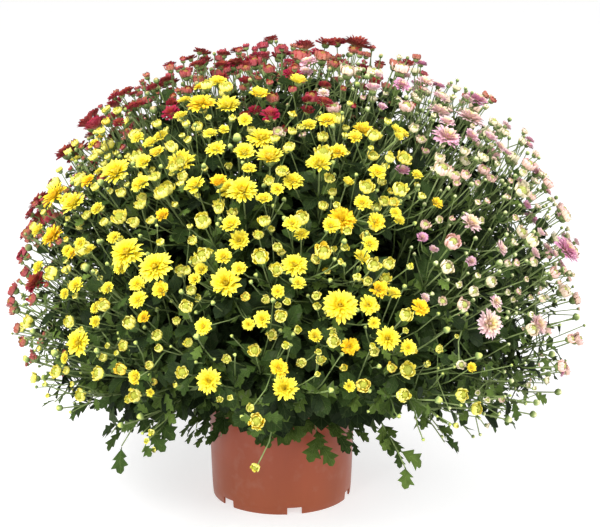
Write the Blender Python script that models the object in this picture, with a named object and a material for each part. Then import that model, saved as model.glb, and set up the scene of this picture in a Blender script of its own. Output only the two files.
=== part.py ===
"""A pot chrysanthemum: flowering stems of three colours in one plastic pot, grown into one dome.

Metres, +Z up, front towards -Y. The stems fan out from a crown just above the soil, and each one
is a leafy head that its blooms, buds and leaves stand out of. A direction from the crown is given by
its polar angle from +Z and its azimuth from the front, positive towards +X.
"""

import math

import bmesh
import bpy
import numpy as np
from mathutils.bvhtree import BVHTree

# Grower's pot, 20 cm across the rim
RIM_RADIUS = 0.0990
FOOT_RADIUS = 0.0942
POT_HEIGHT = 0.140
POT_SIDES = 36
WALL = 0.0018
RIM_DEPTH = 0.007
RIM_LEDGE = 0.0010
FOOT_HEIGHT = 0.011
FOOT_WALL = 0.0032
BASE_THICKNESS = 0.002
NOTCHES = 6
NOTCH_WIDTH = 0.020
NOTCH_HEIGHT = 0.0095
NOTCH_TURN = math.radians(11)
DRAIN_RADIUS = 0.005
DRAIN_CIRCLE = 0.070
DRAIN_SIDES = 6
MERGE = 1e-6

# Soil, with a plain hole for each stem
GAP = 0.0003
SOIL_TOP = 0.125
HOLE_DEPTH = 0.022
HOLE_CIRCLE = 0.077
HOLE_PLAY = 1.6 * GAP

# Dome of foliage: an ellipsoid, deeper above its widest level than below it
CROWN = np.array([0.0, 0.0, 0.150])
DOME_CENTRE = np.array([0.022, 0.0, 0.254])
DOME_RADIUS = 0.382
DOME_RISE = 0.357
DOME_DROP = 0.215
LOWEST = math.radians(92)
# Where the foliage parts or thins low down: azimuth and span (degrees), and how much lower edge it loses
LIFTS = ((0, 38, 0.17), (-78, 34, 0.07), (95, 45, 0.03))
GOLDEN_ANGLE = math.pi * (3 - math.sqrt(5))

# Flowering stems: a round stem that rises from its hole, arches outwards and widens into a leafy
# middle, which fills most of its wedge of the dome. Pairs are the least and the most of a draw.
STEMS = 36
SIDES = 5
STEM_RADIUS = 0.0032
SHOOT_RADIUS = 0.0045
STEM_FOOT = 0.004
STEM_RISE = 0.050
STEM_LEAN = 0.003
STEM_REACH = 0.60
STEM_ARCH = 0.30
STEM_SAG = 0.28
BENDS = (0.40, 0.72, 1.0)
MIDDLE_WIDTH = (0.58, 0.78)
MIDDLE_LEVEL = (0.74, 0.81)
MIDDLE_TIP = (0.83, 0.87)
WIDEST_CELL = math.radians(23)
CELL_STEP = math.radians(0.5)
CELL_FLOOR = 0.02

# Heads: evenly spread over the dome with a little scatter, open blooms rarer low down
HEADS = 330
PLAN_SEED = 31
SCATTER = math.radians(1.9)
LEAST_SINE = 0.15
HEAD_LEVEL = 0.925
LEVEL_RANGE = 0.070
OPEN_SHARE = 0.38
CLOSED_SHARE = 0.92
LOW_LOSS = 0.30
LOW_FROM = 56
LOW_SPAN = 20
# Least radius, what a full-grown head adds, petals when small and large, the points of one petal as
# shares of the radius (out and up), and how far under and over the rim the head's foot and middle lie
HEAD_FORMS = {
    "open": (0.0150, 0.0065, (6, 7), ((1.0, 0.10), (0.60, 0.02)), -0.32, 0.20),
    "cup": (0.0085, 0.0035, (5, 5), ((1.0, 0.50),), -0.75, 0.16),
    "bud": (0.0042, 0.0018, (4, 4), ((1.0, 0.0),), -1.0, 1.0),
}
STALK_RADIUS = 0.0015
STALK_SIDES = 3
ROOT_DEPTH = 0.006
ROOT_SPREAD = 0.55
ROOT_LIMIT = 0.42
# What turns a head: outwards, along its stalk, upwards to the light, and by chance
FACE_OUT, FACE_ALONG, FACE_UP, FACE_CHANCE = 0.6, 1.1, 0.30, 0.30

# Leaves: half outlines along and across, as shares of the length; the rest are shares too
LEAF_SEED = 7
TRIES = 16
LEAF_HALF = ((0.36, 0.45), (0.52, 0.20), (0.74, 0.32))
LEAF_WIDTH = 0.92
LEAF_DROOP = 0.16
LEAF_CUP = 0.20
LEAF_MIDDLE = (0.46, -0.03)
LEAF_HALF_THICKNESS = 0.0008
LEAF_LENGTH = (0.048, 0.062)
LEAF_TILT = (0.15, 0.42)
LEAF_OUT = 0.62
LEAF_ASIDE = 0.75
LEAF_CHANCE = 0.15
RIM_LEAF_LENGTH = (0.050, 0.060)
RIM_LEAF_SWAY = 0.6
RIM_LEAF_OUT = 0.45
RIM_LEAF_DOWN = 0.8
# A stem bears three leaves, and one more past each of these polar angles in degrees
MORE_LEAVES = (40, 66)
RIM_LEAF_FROM = 70
FIT_TRIES = 12
LEAF_TURNS = 14
LEAF_TURN = 0.06
LEAF_SHRINK = 0.985

PETAL_COLOURS = {
    "yellow": (0.80, 0.62, 0.03),
    "red": (0.30, 0.012, 0.02),
    "pink": (0.72, 0.45, 0.47),
}
PETAL_ROUGHNESS = 0.6
PLASTIC_COLOUR = (0.33, 0.080, 0.030)
PLASTIC_ROUGHNESS = 0.45
SOIL_COLOUR = (0.05, 0.032, 0.02)
SOIL_ROUGHNESS = 0.95
# Middle of each plant's share of the dome: polar angle, azimuth (degrees) and strength
PLANT_SEATS = (
    ("yellow", 78, -30, 1.00),
    ("yellow", 58, 6, 0.85),
    ("yellow", 92, 28, 0.60),
    ("pink", 55, 96, 1.00),
    ("pink", 74, 54, 0.80),
    ("red", 40, -150, 1.00),
    ("red", 84, -112, 0.90),
    ("red", 84, -170, 0.98),
)


def clear_scene():
    for item in list(bpy.data.objects):
        bpy.data.objects.remove(item, do_unlink=True)


def finish_material(name, colour, roughness):
    material = bpy.data.materials.new(name)
    material.use_nodes = True
    shader = material.node_tree.nodes["Principled BSDF"]
    shader.inputs["Base Color"].default_value = (*colour, 1.0)
    shader.inputs["Roughness"].default_value = roughness
    shader.inputs["Metallic"].default_value = 0.0
    return material


def add_object(name, points, faces, material=None):
    mesh = bpy.data.meshes.new(name)
    mesh.from_pydata([tuple(map(float, point)) for point in points], [], faces)
    mesh.update()
    thing = bpy.data.objects.new(name, mesh)
    bpy.context.scene.collection.objects.link(thing)
    if material:
        mesh.materials.append(material)
    return thing


def apply_modifiers(thing):
    """Bakes the modifiers into the mesh, so that their cutters and operands can go."""
    graph = bpy.context.evaluated_depsgraph_get()
    shaped = bpy.data.meshes.new_from_object(thing.evaluated_get(graph))
    thing.modifiers.clear()
    thing.data = shaped


def heading(polar, azimuth):
    """Unit vector at a polar angle from +Z and an azimuth from the front, -Y, towards +X."""
    return np.array(
        [
            math.sin(polar) * math.sin(azimuth),
            -math.sin(polar) * math.cos(azimuth),
            math.cos(polar),
        ]
    )


def angles_of(direction):
    polar = math.acos(max(-1.0, min(1.0, direction[2])))
    return polar, math.atan2(direction[0], -direction[1])


def unit(vector):
    return vector / np.linalg.norm(vector)


def lifted(polar, azimuth):
    """The polar angle, made smaller at the azimuths where the dome's lower edge rises."""
    for middle, span, lift in LIFTS:
        turn = math.remainder(azimuth - math.radians(middle), math.tau)
        polar *= 1 - lift * math.exp(-((turn / math.radians(span)) ** 2))
    return polar


def reach(direction):
    """Distance from the crown to the dome along a unit vector: a ray meets the upper or lower ellipsoid."""
    start = CROWN - DOME_CENTRE
    for depth in (DOME_RISE, DOME_DROP):
        scale = 1 / np.array([DOME_RADIUS, DOME_RADIUS, depth])
        ray = direction * scale
        origin = start * scale
        a = ray @ ray
        b = ray @ origin
        distance = (-b + math.sqrt(b * b - a * (origin @ origin - 1))) / a
        if depth == DOME_DROP or start[2] + distance * direction[2] >= 0:
            return distance


def spiral(count):
    """Evenly spread (polar, azimuth) pairs over the dome, along a golden-angle spiral."""
    for step in range(count):
        share = (step + 0.5) / count
        polar = math.acos(1 - share * (1 - math.cos(LOWEST)))
        azimuth = math.remainder(step * GOLDEN_ANGLE, math.tau)
        yield polar, azimuth


def plan_stems():
    """Every stem's direction, the plant that it belongs to, and its name."""
    seats = [
        (plant, heading(math.radians(polar), math.radians(azimuth)), strength)
        for plant, polar, azimuth, strength in PLANT_SEATS
    ]
    counts = {plant: 0 for plant in PETAL_COLOURS}
    stems = []
    for polar, azimuth in spiral(STEMS):
        direction = heading(lifted(polar, azimuth), azimuth)
        plant = min(seats, key=lambda seat: math.acos(direction @ seat[1]) / seat[2])[0]
        counts[plant] += 1
        name = f"{plant}_stem_{counts[plant]:02d}"
        stems.append({"name": name, "plant": plant, "polar": polar, "direction": direction})
    return stems


def plan_heads():
    """Every bloom and bud: its direction, its share of the dome's radius, its kind, size and turn."""
    draw = np.random.default_rng(PLAN_SEED)
    heads = []
    for polar, azimuth in spiral(HEADS):
        shift, turn = draw.normal(0, SCATTER, 2)
        level, chance, size, facing, spin = draw.random(5)
        polar = abs(polar + shift)
        azimuth += turn / max(math.sin(polar), LEAST_SINE)
        polar = lifted(polar, azimuth)
        loss = LOW_LOSS * max(0.0, (math.degrees(polar) - LOW_FROM) / LOW_SPAN)
        if chance < OPEN_SHARE - loss:
            kind = "open"
        elif chance < CLOSED_SHARE - loss:
            kind = "cup"
        else:
            kind = "bud"
        heads.append(
            {
                "direction": heading(polar, azimuth),
                "share": HEAD_LEVEL + LEVEL_RANGE * level,
                "kind": kind,
                "size": size,
                "facing": facing,
                "spin": spin * math.tau,
            }
        )
    return heads


def ring(centre, across, along, radius, count):
    """Points round a centre in the plane of two unit vectors."""
    angles = np.arange(count) * math.tau / count
    return centre + radius * (np.outer(np.cos(angles), across) + np.outer(np.sin(angles), along))


def side_axes(axis, turn):
    """Two unit vectors that make a right-handed set with an axis, turned about it."""
    guide = np.array([0.0, 0.0, 1.0]) if abs(axis[2]) < 0.9 else np.array([1.0, 0.0, 0.0])
    across = unit(np.cross(guide, axis))
    along = np.cross(axis, across)
    return (
        math.cos(turn) * across + math.sin(turn) * along,
        math.cos(turn) * along - math.sin(turn) * across,
    )


def bridge(first, count, second, more):
    """Triangles between a ring of count points and a ring of more points, both turning the same way."""
    faces = []
    low = high = 0
    while low < count or high < more:
        if high * count <= low * more and high < more:
            faces.append((first + low % count, second + (high + 1) % more, second + high % more))
            high += 1
        else:
            faces.append((first + low % count, first + (low + 1) % count, second + high % more))
            low += 1
    return faces


def tube_faces(rings, sides):
    """Quads between rings that each hold the same number of points."""
    faces = []
    for level in range(rings - 1):
        for side in range(sides):
            here = level * sides + side
            beside = level * sides + (side + 1) % sides
            faces.append((here, beside, beside + sides, here + sides))
    return faces


def tree_of(shape):
    """Search tree over a shape's faces."""
    return BVHTree.FromPolygons([tuple(point) for point in shape[0]], shape[1])


def build_pot(material):
    """Turned wall, rim, base and foot ring, with notches cut in the foot and drain holes in the base."""
    rim_under = POT_HEIGHT - RIM_DEPTH
    floor = FOOT_HEIGHT + BASE_THICKNESS
    profile = (
        (0.0, floor),
        (inner_radius(floor), floor),
        (inner_radius(POT_HEIGHT), POT_HEIGHT),
        (RIM_RADIUS, POT_HEIGHT),
        (RIM_RADIUS, rim_under),
        (RIM_RADIUS - RIM_LEDGE, rim_under),
        (FOOT_RADIUS, 0.0),
        (FOOT_RADIUS - FOOT_WALL, 0.0),
        (FOOT_RADIUS - FOOT_WALL, FOOT_HEIGHT),
        (0.0, FOOT_HEIGHT),
    )
    shape = bmesh.new()
    points = [shape.verts.new((radius, 0.0, height)) for radius, height in profile]
    edges = [shape.edges.new(pair) for pair in zip(points, points[1:])]
    bmesh.ops.spin(
        shape,
        geom=points + edges,
        cent=(0, 0, 0),
        axis=(0, 0, 1),
        angle=math.tau,
        steps=POT_SIDES,
        use_merge=True,
    )
    bmesh.ops.remove_doubles(shape, verts=shape.verts, dist=MERGE)
    bmesh.ops.recalc_face_normals(shape, faces=shape.faces)
    mesh = bpy.data.meshes.new("pot")
    shape.to_mesh(mesh)
    shape.free()
    mesh.materials.append(material)
    pot = bpy.data.objects.new("pot", mesh)
    bpy.context.scene.collection.objects.link(pot)

    cutters = bpy.data.collections.new("pot_cutters")
    for number in range(NOTCHES):
        angle = NOTCH_TURN + number * math.tau / NOTCHES
        notch = add_box(f"notch_{number}", NOTCH_WIDTH, 4 * FOOT_WALL, 2 * NOTCH_HEIGHT)
        outward = heading(math.pi / 2, angle)
        notch.location = outward * (FOOT_RADIUS - FOOT_WALL / 2)
        notch.rotation_euler = (0, 0, angle)
        drain = add_prism(f"drain_{number}", DRAIN_RADIUS, DRAIN_SIDES, 4 * BASE_THICKNESS)
        drain.location = outward * DRAIN_CIRCLE + np.array([0, 0, FOOT_HEIGHT - BASE_THICKNESS])
        for cutter in (notch, drain):
            gather(cutter, cutters)
    cut_with(pot, cutters)
    return pot


def inner_radius(height):
    """Inside of the pot's wall, which tapers with the outside."""
    rim_under = POT_HEIGHT - RIM_DEPTH
    share = min(height, rim_under) / rim_under
    return FOOT_RADIUS + (RIM_RADIUS - RIM_LEDGE - FOOT_RADIUS) * share - WALL


def add_box(name, width, depth, height):
    """Box centred on its origin."""
    corners = [
        (x * width / 2, y * depth / 2, z * height / 2) for z in (-1, 1) for y in (-1, 1) for x in (-1, 1)
    ]
    faces = [(0, 2, 3, 1), (4, 5, 7, 6), (0, 1, 5, 4), (2, 6, 7, 3), (0, 4, 6, 2), (1, 3, 7, 5)]
    return add_object(name, corners, faces)


def add_prism(name, radius, sides, height):
    """Upright prism standing on its origin."""
    base = ring(np.zeros(3), np.array([1.0, 0, 0]), np.array([0, 1.0, 0]), radius, sides)
    points = np.concatenate([base, base + (0, 0, height)])
    faces = [tuple(range(sides))[::-1], tuple(range(sides, 2 * sides))] + tube_faces(2, sides)
    return add_object(name, points, faces)


def gather(thing, collection):
    """Moves an object into a collection of cutters or operands."""
    for holder in list(thing.users_collection):
        holder.objects.unlink(thing)
    collection.objects.link(thing)
    thing.hide_render = True
    thing.display_type = "WIRE"


def cut_with(thing, collection, operation="DIFFERENCE", solver="EXACT"):
    """One Boolean on a whole collection, applied, after which the collection goes."""
    bpy.context.scene.collection.children.link(collection)
    modifier = thing.modifiers.new("repeats", "BOOLEAN")
    modifier.operation = operation
    modifier.solver = solver
    modifier.operand_type = "COLLECTION"
    modifier.collection = collection
    apply_modifiers(thing)
    for operand in list(collection.objects):
        mesh = operand.data
        bpy.data.objects.remove(operand, do_unlink=True)
        bpy.data.meshes.remove(mesh)
    bpy.data.collections.remove(collection)


def hole_radius(polar):
    """Distance of a stem's hole from the pot's axis: equal areas of dome and soil match."""
    return HOLE_CIRCLE * math.sqrt((1 - math.cos(polar)) / (1 - math.cos(LOWEST)))


def build_soil(stems, material):
    """Tapered plug of soil that fills the pot, with a plain hole for each stem."""
    bottom = FOOT_HEIGHT + BASE_THICKNESS + GAP
    axes = np.array([1.0, 0, 0]), np.array([0, 1.0, 0])
    points = np.concatenate(
        [
            ring(np.array([0, 0, height]), *axes, inner_radius(height) - 2 * GAP, POT_SIDES)
            for height in (bottom, SOIL_TOP)
        ]
    )
    faces = [tuple(range(POT_SIDES))[::-1], tuple(range(POT_SIDES, 2 * POT_SIDES))]
    soil = add_object("soil", points, faces + tube_faces(2, POT_SIDES), material)
    holes = bpy.data.collections.new("stem_holes")
    for stem in stems:
        azimuth = angles_of(stem["direction"])[1]
        outward = heading(math.pi / 2, azimuth)
        sideways = np.array([math.cos(azimuth), math.sin(azimuth), 0.0])
        base = outward * hole_radius(stem["polar"]) + np.array([0, 0, SOIL_TOP - HOLE_DEPTH])
        rim = ring(base, outward, sideways, STEM_RADIUS + HOLE_PLAY, SIDES)
        walls = np.concatenate([rim, rim + (0, 0, 2 * HOLE_DEPTH)])
        caps = [tuple(range(SIDES))[::-1], tuple(range(SIDES, 2 * SIDES))]
        gather(add_object("hole", walls, caps + tube_faces(2, SIDES)), holes)
    cut_with(soil, holes)
    return soil


class StemCell:
    """The wedge of the dome that one stem fills: everything nearer its direction than any other stem's."""

    def __init__(self, stem, stems):
        self.stem = stem
        self.direction = stem["direction"]
        self.polar, self.azimuth = angles_of(self.direction)
        others = [other["direction"] for other in stems if other is not stem]
        self.walls = np.array([unit(self.direction - other) for other in others])
        self.sideways = np.array([math.cos(self.azimuth), math.sin(self.azimuth), 0.0])
        self.outwards = np.cross(self.sideways, self.direction)
        self.spreads = [self.spread(side) for side in range(SIDES)]

    def tangent(self, angle):
        """Unit vector square to the stem's direction, turned about it."""
        return math.cos(angle) * self.outwards + math.sin(angle) * self.sideways

    def tilted(self, side, angle):
        """The stem's direction, tilted towards one of the sides of its middle."""
        return math.cos(angle) * self.direction + math.sin(angle) * self.tangent(side * math.tau / SIDES)

    def spread(self, side):
        """The angle from the stem's direction at which the wedge, or the dome's lower edge, ends."""
        angle = 0.0
        while angle < WIDEST_CELL:
            towards = self.tilted(side, angle)
            polar, azimuth = angles_of(towards)
            if (self.walls @ towards).min() < 0 or polar > lifted(LOWEST + CELL_FLOOR, azimuth):
                break
            angle += CELL_STEP
        return angle

    def room(self, tangent):
        """How far the wedge spreads on the side that a tangent vector points to."""
        angle = math.atan2(tangent @ self.sideways, tangent @ self.outwards) % math.tau
        side = int(angle / math.tau * SIDES) % SIDES
        return min(self.spreads[side], self.spreads[(side + 1) % SIDES])

    def root(self, body, towards):
        """A point under the body's surface, where a line from the crown leaves it."""
        far = CROWN + reach(towards) * towards
        surface = tree_of(body).ray_cast(tuple(far), tuple(-towards))[0]
        return np.array(surface) - ROOT_DEPTH * towards

    def intrusion(self, points):
        """How far the points stand past the worst wall of the wedge, and that wall's inward normal."""
        depths = (points - CROWN) @ self.walls.T
        point, wall = np.unravel_index(np.argmin(depths), depths.shape)
        return 2 * GAP - depths[point, wall], self.walls[wall]


def stem_path(cell):
    """Centres and directions along a stem: straight out of its hole, then arching into its wedge."""
    outward = heading(math.pi / 2, cell.azimuth)
    up = np.array([0.0, 0.0, 1.0])
    foot = outward * hole_radius(cell.stem["polar"]) + up * (SOIL_TOP + STEM_FOOT)
    lean = math.sin(cell.polar)
    far = STEM_REACH * reach(cell.direction)
    end = CROWN + far * cell.direction
    first = foot + outward * STEM_LEAN * lean + up * STEM_RISE
    second = end - STEM_ARCH * far * (cell.direction - up * STEM_SAG * lean**4)
    buried = HOLE_DEPTH + STEM_FOOT - 1.5 * GAP
    places = [(foot - up * buried, up), (foot, up)]
    for t in BENDS:
        s = 1 - t
        centre = s**3 * foot + 3 * s * s * t * first + 3 * s * t * t * second + t**3 * end
        tangent = s * s * (first - foot) + 2 * s * t * (second - first) + t * t * (end - second)
        places.append((centre, unit(tangent)))
    return places


def stem_body(cell, draw):
    """Points and faces of a stem that widens into the leafy middle of its wedge."""
    rings = []
    places = stem_path(cell)
    radii = (STEM_RADIUS, STEM_RADIUS, STEM_RADIUS, (STEM_RADIUS + SHOOT_RADIUS) / 2, SHOOT_RADIUS)
    for (centre, tangent), radius in zip(places, radii):
        rings.append(ring(centre, np.cross(cell.sideways, tangent), cell.sideways, radius, SIDES))
    level = []
    for side in range(SIDES):
        towards = cell.tilted(side, draw.uniform(*MIDDLE_WIDTH) * cell.spreads[side])
        level.append(CROWN + draw.uniform(*MIDDLE_LEVEL) * reach(towards) * towards)
    rings.append(np.array(level))
    tip = CROWN + draw.uniform(*MIDDLE_TIP) * reach(cell.direction) * cell.direction
    points = np.concatenate(rings + [tip[None]])
    last = (len(rings) - 1) * SIDES
    faces = [tuple(range(SIDES))[::-1]]
    for a, b, c, d in tube_faces(len(rings), SIDES):
        faces += [(a, b, c), (a, c, d)]
    faces += [(last + side, last + (side + 1) % SIDES, len(points) - 1) for side in range(SIDES)]
    return points, faces


def head_shape(base, centre, axis, head):
    """A stalk with a bloom, a half-open cup or a bud on it, as points and faces.

    The stalk is three-sided. An open bloom is a star of petals round a raised disc, a cup is a ring
    of short petals round a hollow, and a bud is a small spindle.
    """
    least, growth, petals, petal, under, middle = HEAD_FORMS[head["kind"]]
    radius = least + growth * head["size"]
    outline = petal * petals[round(head["size"])]
    across, along = side_axes(axis, head["spin"])
    count = len(outline)
    top = ring(centre + under * radius * axis, across, along, STALK_RADIUS, STALK_SIDES)
    root = top + (base - top.mean(0))
    rim = [
        centre + radius * (share * (math.cos(angle) * across + math.sin(angle) * along) + height * axis)
        for (share, height), angle in zip(outline, np.arange(count) * math.tau / count)
    ]
    points = np.concatenate([root, top, rim, [centre + middle * radius * axis]])
    start = 2 * STALK_SIDES
    faces = [tuple(range(STALK_SIDES))[::-1]] + tube_faces(2, STALK_SIDES)
    faces += bridge(STALK_SIDES, STALK_SIDES, start, count)
    faces += [(start + step, start + (step + 1) % count, start + count) for step in range(count)]
    return points, faces


def leaf_shape(base, along, up, length):
    """A lobed leaf as a thin blade, thickest at its midrib, drooping towards its tip."""
    right = [(x, -y) for x, y in LEAF_HALF]
    outline = [(0.0, 0.0)] + right + [(1.0, 0.0)] + list(LEAF_HALF[::-1])
    across = unit(np.cross(up, along))
    normal = np.cross(along, across)
    points = []
    for x, y in outline:
        rise = LEAF_CUP * abs(y) - LEAF_DROOP * x * x
        points.append(base + length * (x * along + LEAF_WIDTH * y * across + rise * normal))
    middle = base + length * (LEAF_MIDDLE[0] * along + LEAF_MIDDLE[1] * normal)
    count = len(outline)
    points += [middle + LEAF_HALF_THICKNESS * normal, middle - LEAF_HALF_THICKNESS * normal]
    faces = []
    for step in range(count):
        beside = (step + 1) % count
        faces.append((step, beside, count))
        faces.append((beside, step, count + 1))
    return np.array(points), faces


def fit_in_cell(cell, make, centre):
    """Shifts a shape until it stands clear of every wall of its wedge, or gives nothing."""
    for _ in range(FIT_TRIES):
        points, faces = make(centre)
        depth, inward = cell.intrusion(points)
        if depth <= 0:
            return points, faces
        centre = centre + inward * (depth + GAP)
    return None


def head_on(cell, body, head):
    """One head of a wedge, standing out of its middle on a stalk."""
    towards = head["direction"]
    angle = math.acos(min(1.0, cell.direction @ towards))
    side = unit(towards - (towards @ cell.direction) * cell.direction)
    sunk = min(ROOT_SPREAD * angle, ROOT_LIMIT * cell.room(side))
    base = cell.root(body, math.cos(sunk) * cell.direction + math.sin(sunk) * side)
    centre = CROWN + head["share"] * reach(towards) * towards
    chance = heading(math.pi / 2, head["spin"]) * FACE_CHANCE * (head["facing"] - 0.5)
    light = np.array([0, 0, FACE_UP])
    axis = unit(FACE_OUT * towards + FACE_ALONG * unit(centre - base) + light + chance)
    return fit_in_cell(cell, lambda place: head_shape(base, place, axis, head), centre)


def blade_on(cell, base, along, up, length):
    """A leaf rooted at a base, turned towards the middle of its wedge until it clears the walls."""
    for _ in range(LEAF_TURNS):
        points, faces = leaf_shape(base, along, up, length)
        depth, inward = cell.intrusion(points)
        if depth <= 0:
            return points, faces
        along = unit(along + inward * (LEAF_TURN + depth / length))
        length *= LEAF_SHRINK
    return None


def blade_round(cell, body, draw):
    """A leaf that leaves the middle of its wedge sideways and outwards."""
    tangent = cell.tangent(draw.uniform(0, math.tau))
    tilt = draw.uniform(*LEAF_TILT) * cell.room(tangent)
    towards = math.cos(tilt) * cell.direction + math.sin(tilt) * tangent
    base = cell.root(body, towards)
    along = unit(LEAF_OUT * towards + LEAF_ASIDE * tangent + draw.normal(0, LEAF_CHANCE, 3))
    return blade_on(cell, base, along, cell.direction, draw.uniform(*LEAF_LENGTH))


def blade_over_rim(cell, draw):
    """A leaf that hangs from the stem where it passes over the pot's rim."""
    outward = heading(math.pi / 2, cell.azimuth)
    sway = draw.uniform(-RIM_LEAF_SWAY, RIM_LEAF_SWAY)
    down = np.array([0, 0, -RIM_LEAF_DOWN])
    along = unit(RIM_LEAF_OUT * outward + sway * cell.sideways + down)
    return blade_on(cell, stem_path(cell)[3][0], along, outward, draw.uniform(*RIM_LEAF_LENGTH))


def clear_shapes(makers, placed):
    """Calls each maker until its shape crosses nothing placed so far, and gives the shapes that fit."""
    for make in makers:
        for _ in range(TRIES):
            shape = make()
            if not shape:
                continue
            tree = tree_of(shape)
            if not any(tree.overlap(other) for other in placed):
                placed.append(tree)
                yield shape
                break


def build_stem(cell, heads, material, draw):
    """One flowering stem, fused from its body, its heads and its leaves."""
    body = stem_body(cell, draw)
    stem = add_object(cell.stem["name"], *body, material)
    shapes = [shape for shape in (head_on(cell, body, head) for head in heads) if shape]
    polar = math.degrees(cell.polar)
    leaves = 3 + sum(polar > limit for limit in MORE_LEAVES)
    makers = [lambda: blade_round(cell, body, draw)] * leaves
    if polar > RIM_LEAF_FROM:
        makers.append(lambda: blade_over_rim(cell, draw))
    shapes += clear_shapes(makers, [tree_of(shape) for shape in shapes])
    repeats = bpy.data.collections.new("repeats")
    for shape in shapes:
        gather(add_object("repeat", *shape), repeats)
    cut_with(stem, repeats, "UNION", "MANIFOLD")
    return stem


def centre_on_origin(things):
    """Shifts the whole plant so that the middle of its plan stands over the origin."""
    points = np.array([point.co for thing in things for point in thing.data.vertices])
    middle = (points.min(0) + points.max(0)) / 2
    for thing in things:
        thing.location = (-middle[0], -middle[1], 0.0)


def main():
    clear_scene()
    stems = plan_stems()
    directions = np.array([stem["direction"] for stem in stems])
    shares = [[] for _ in stems]
    for head in plan_heads():
        shares[int(np.argmax(directions @ head["direction"]))].append(head)
    things = [
        build_pot(finish_material("terracotta_plastic", PLASTIC_COLOUR, PLASTIC_ROUGHNESS)),
        build_soil(stems, finish_material("potting_soil", SOIL_COLOUR, SOIL_ROUGHNESS)),
    ]
    draw = np.random.default_rng(LEAF_SEED)
    for stem, heads in zip(stems, shares):
        material = finish_material(stem["name"], PETAL_COLOURS[stem["plant"]], PETAL_ROUGHNESS)
        things.append(build_stem(StemCell(stem, stems), heads, material, draw))
    centre_on_origin(things)


main()
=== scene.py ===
"""Looks of a pot chrysanthemum: three plants, yellow, crimson and pale pink, in one plastic pot.

Metres, +Z up, front towards -Y. The flowering stems fan out of a crown just above the soil. A
direction from the crown is given by its polar angle from +Z and its azimuth from the front,
positive towards +X.
"""

import math

import bpy
import numpy as np
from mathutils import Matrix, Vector


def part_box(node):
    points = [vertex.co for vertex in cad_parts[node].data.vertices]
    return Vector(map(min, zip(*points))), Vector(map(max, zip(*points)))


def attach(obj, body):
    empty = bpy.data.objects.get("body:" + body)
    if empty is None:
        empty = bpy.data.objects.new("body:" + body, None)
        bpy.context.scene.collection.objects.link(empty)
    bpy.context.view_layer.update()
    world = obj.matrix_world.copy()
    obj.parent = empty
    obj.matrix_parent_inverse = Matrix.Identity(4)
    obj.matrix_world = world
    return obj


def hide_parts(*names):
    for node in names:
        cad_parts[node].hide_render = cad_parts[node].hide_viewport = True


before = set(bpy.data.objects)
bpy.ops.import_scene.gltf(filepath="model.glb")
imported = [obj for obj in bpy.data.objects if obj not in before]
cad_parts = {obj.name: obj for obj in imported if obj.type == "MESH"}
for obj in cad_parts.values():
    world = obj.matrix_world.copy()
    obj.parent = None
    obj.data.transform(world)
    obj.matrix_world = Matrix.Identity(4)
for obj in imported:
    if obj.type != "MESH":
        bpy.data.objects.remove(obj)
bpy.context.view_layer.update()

# Pot. A thin-walled grower's pot of terracotta-brown polypropylene, injection moulded in one piece:
# a wall that tapers a little towards the foot, a narrow rim, a base plate with drain holes, and a
# foot ring with six notches.
POT_LOW, POT_HIGH = (np.array(corner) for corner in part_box("pot"))
AXIS = np.array([*(POT_LOW + POT_HIGH)[:2] / 2, 0.0])
RIM_RADIUS = (POT_HIGH - POT_LOW)[0] / 2
POT_HEIGHT = POT_HIGH[2]
WALL = 0.0018
RIM_LEDGE = 0.0010
RIM_UNDER = POT_HEIGHT - 0.007
EDGE_ROUND = 0.0005
FOOT_RADIUS = 0.0942
FOOT_HEIGHT = 0.011
FOOT_WALL = 0.0032
FOOT_TUCK = 0.0010
TUCK_HEIGHT = 0.012
BASE_THICKNESS = 0.002
FLOOR = FOOT_HEIGHT + BASE_THICKNESS
NOTCHES = 6
NOTCH_WIDTH = 0.020
NOTCH_HEIGHT = 0.0095
NOTCH_TURN = math.radians(11)
# Columns of points just outside and just inside a notch, as shares of half its width
NOTCH_EDGES = np.array([-1.006, -0.994, 0.994, 1.006])
DRAIN_RADIUS = 0.005
DRAIN_CIRCLE = 0.070
DRAIN_SIDES = 20
POT_COLUMNS = 120
INNER_RINGS = 8
OUTER_RINGS = 14
SHARP_EDGE = math.radians(50)


def build_mesh(name, points, triangles):
    """A mesh of triangles, shaded smooth, with its sharp edges kept."""
    mesh = bpy.data.meshes.new(name)
    mesh.vertices.add(len(points))
    mesh.vertices.foreach_set("co", np.ascontiguousarray(points, np.float32).ravel())
    mesh.loops.add(3 * len(triangles))
    mesh.loops.foreach_set("vertex_index", np.ascontiguousarray(triangles, np.int32).ravel())
    mesh.polygons.add(len(triangles))
    mesh.polygons.foreach_set("loop_start", np.arange(0, 3 * len(triangles), 3, dtype=np.int32))
    mesh.update(calc_edges=True)
    mesh.shade_smooth()
    mesh.set_sharp_from_angle(angle=SHARP_EDGE)
    return mesh


def add_piece(name, mesh, material, slot, *nodes):
    """Puts a mesh in the scene as a piece that rides with the pot and stands for the named nodes."""
    piece = bpy.data.objects.new(name, mesh)
    bpy.context.scene.collection.objects.link(piece)
    mesh.materials.append(material)
    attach(piece, "root")
    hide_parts(*nodes)
    return piece


def around(count):
    """Angles spread evenly round a circle."""
    return np.arange(count) * math.tau / count


def half_turned(angle):
    """Angles brought to within half a turn of zero."""
    return (angle + math.pi) % math.tau - math.pi


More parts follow.
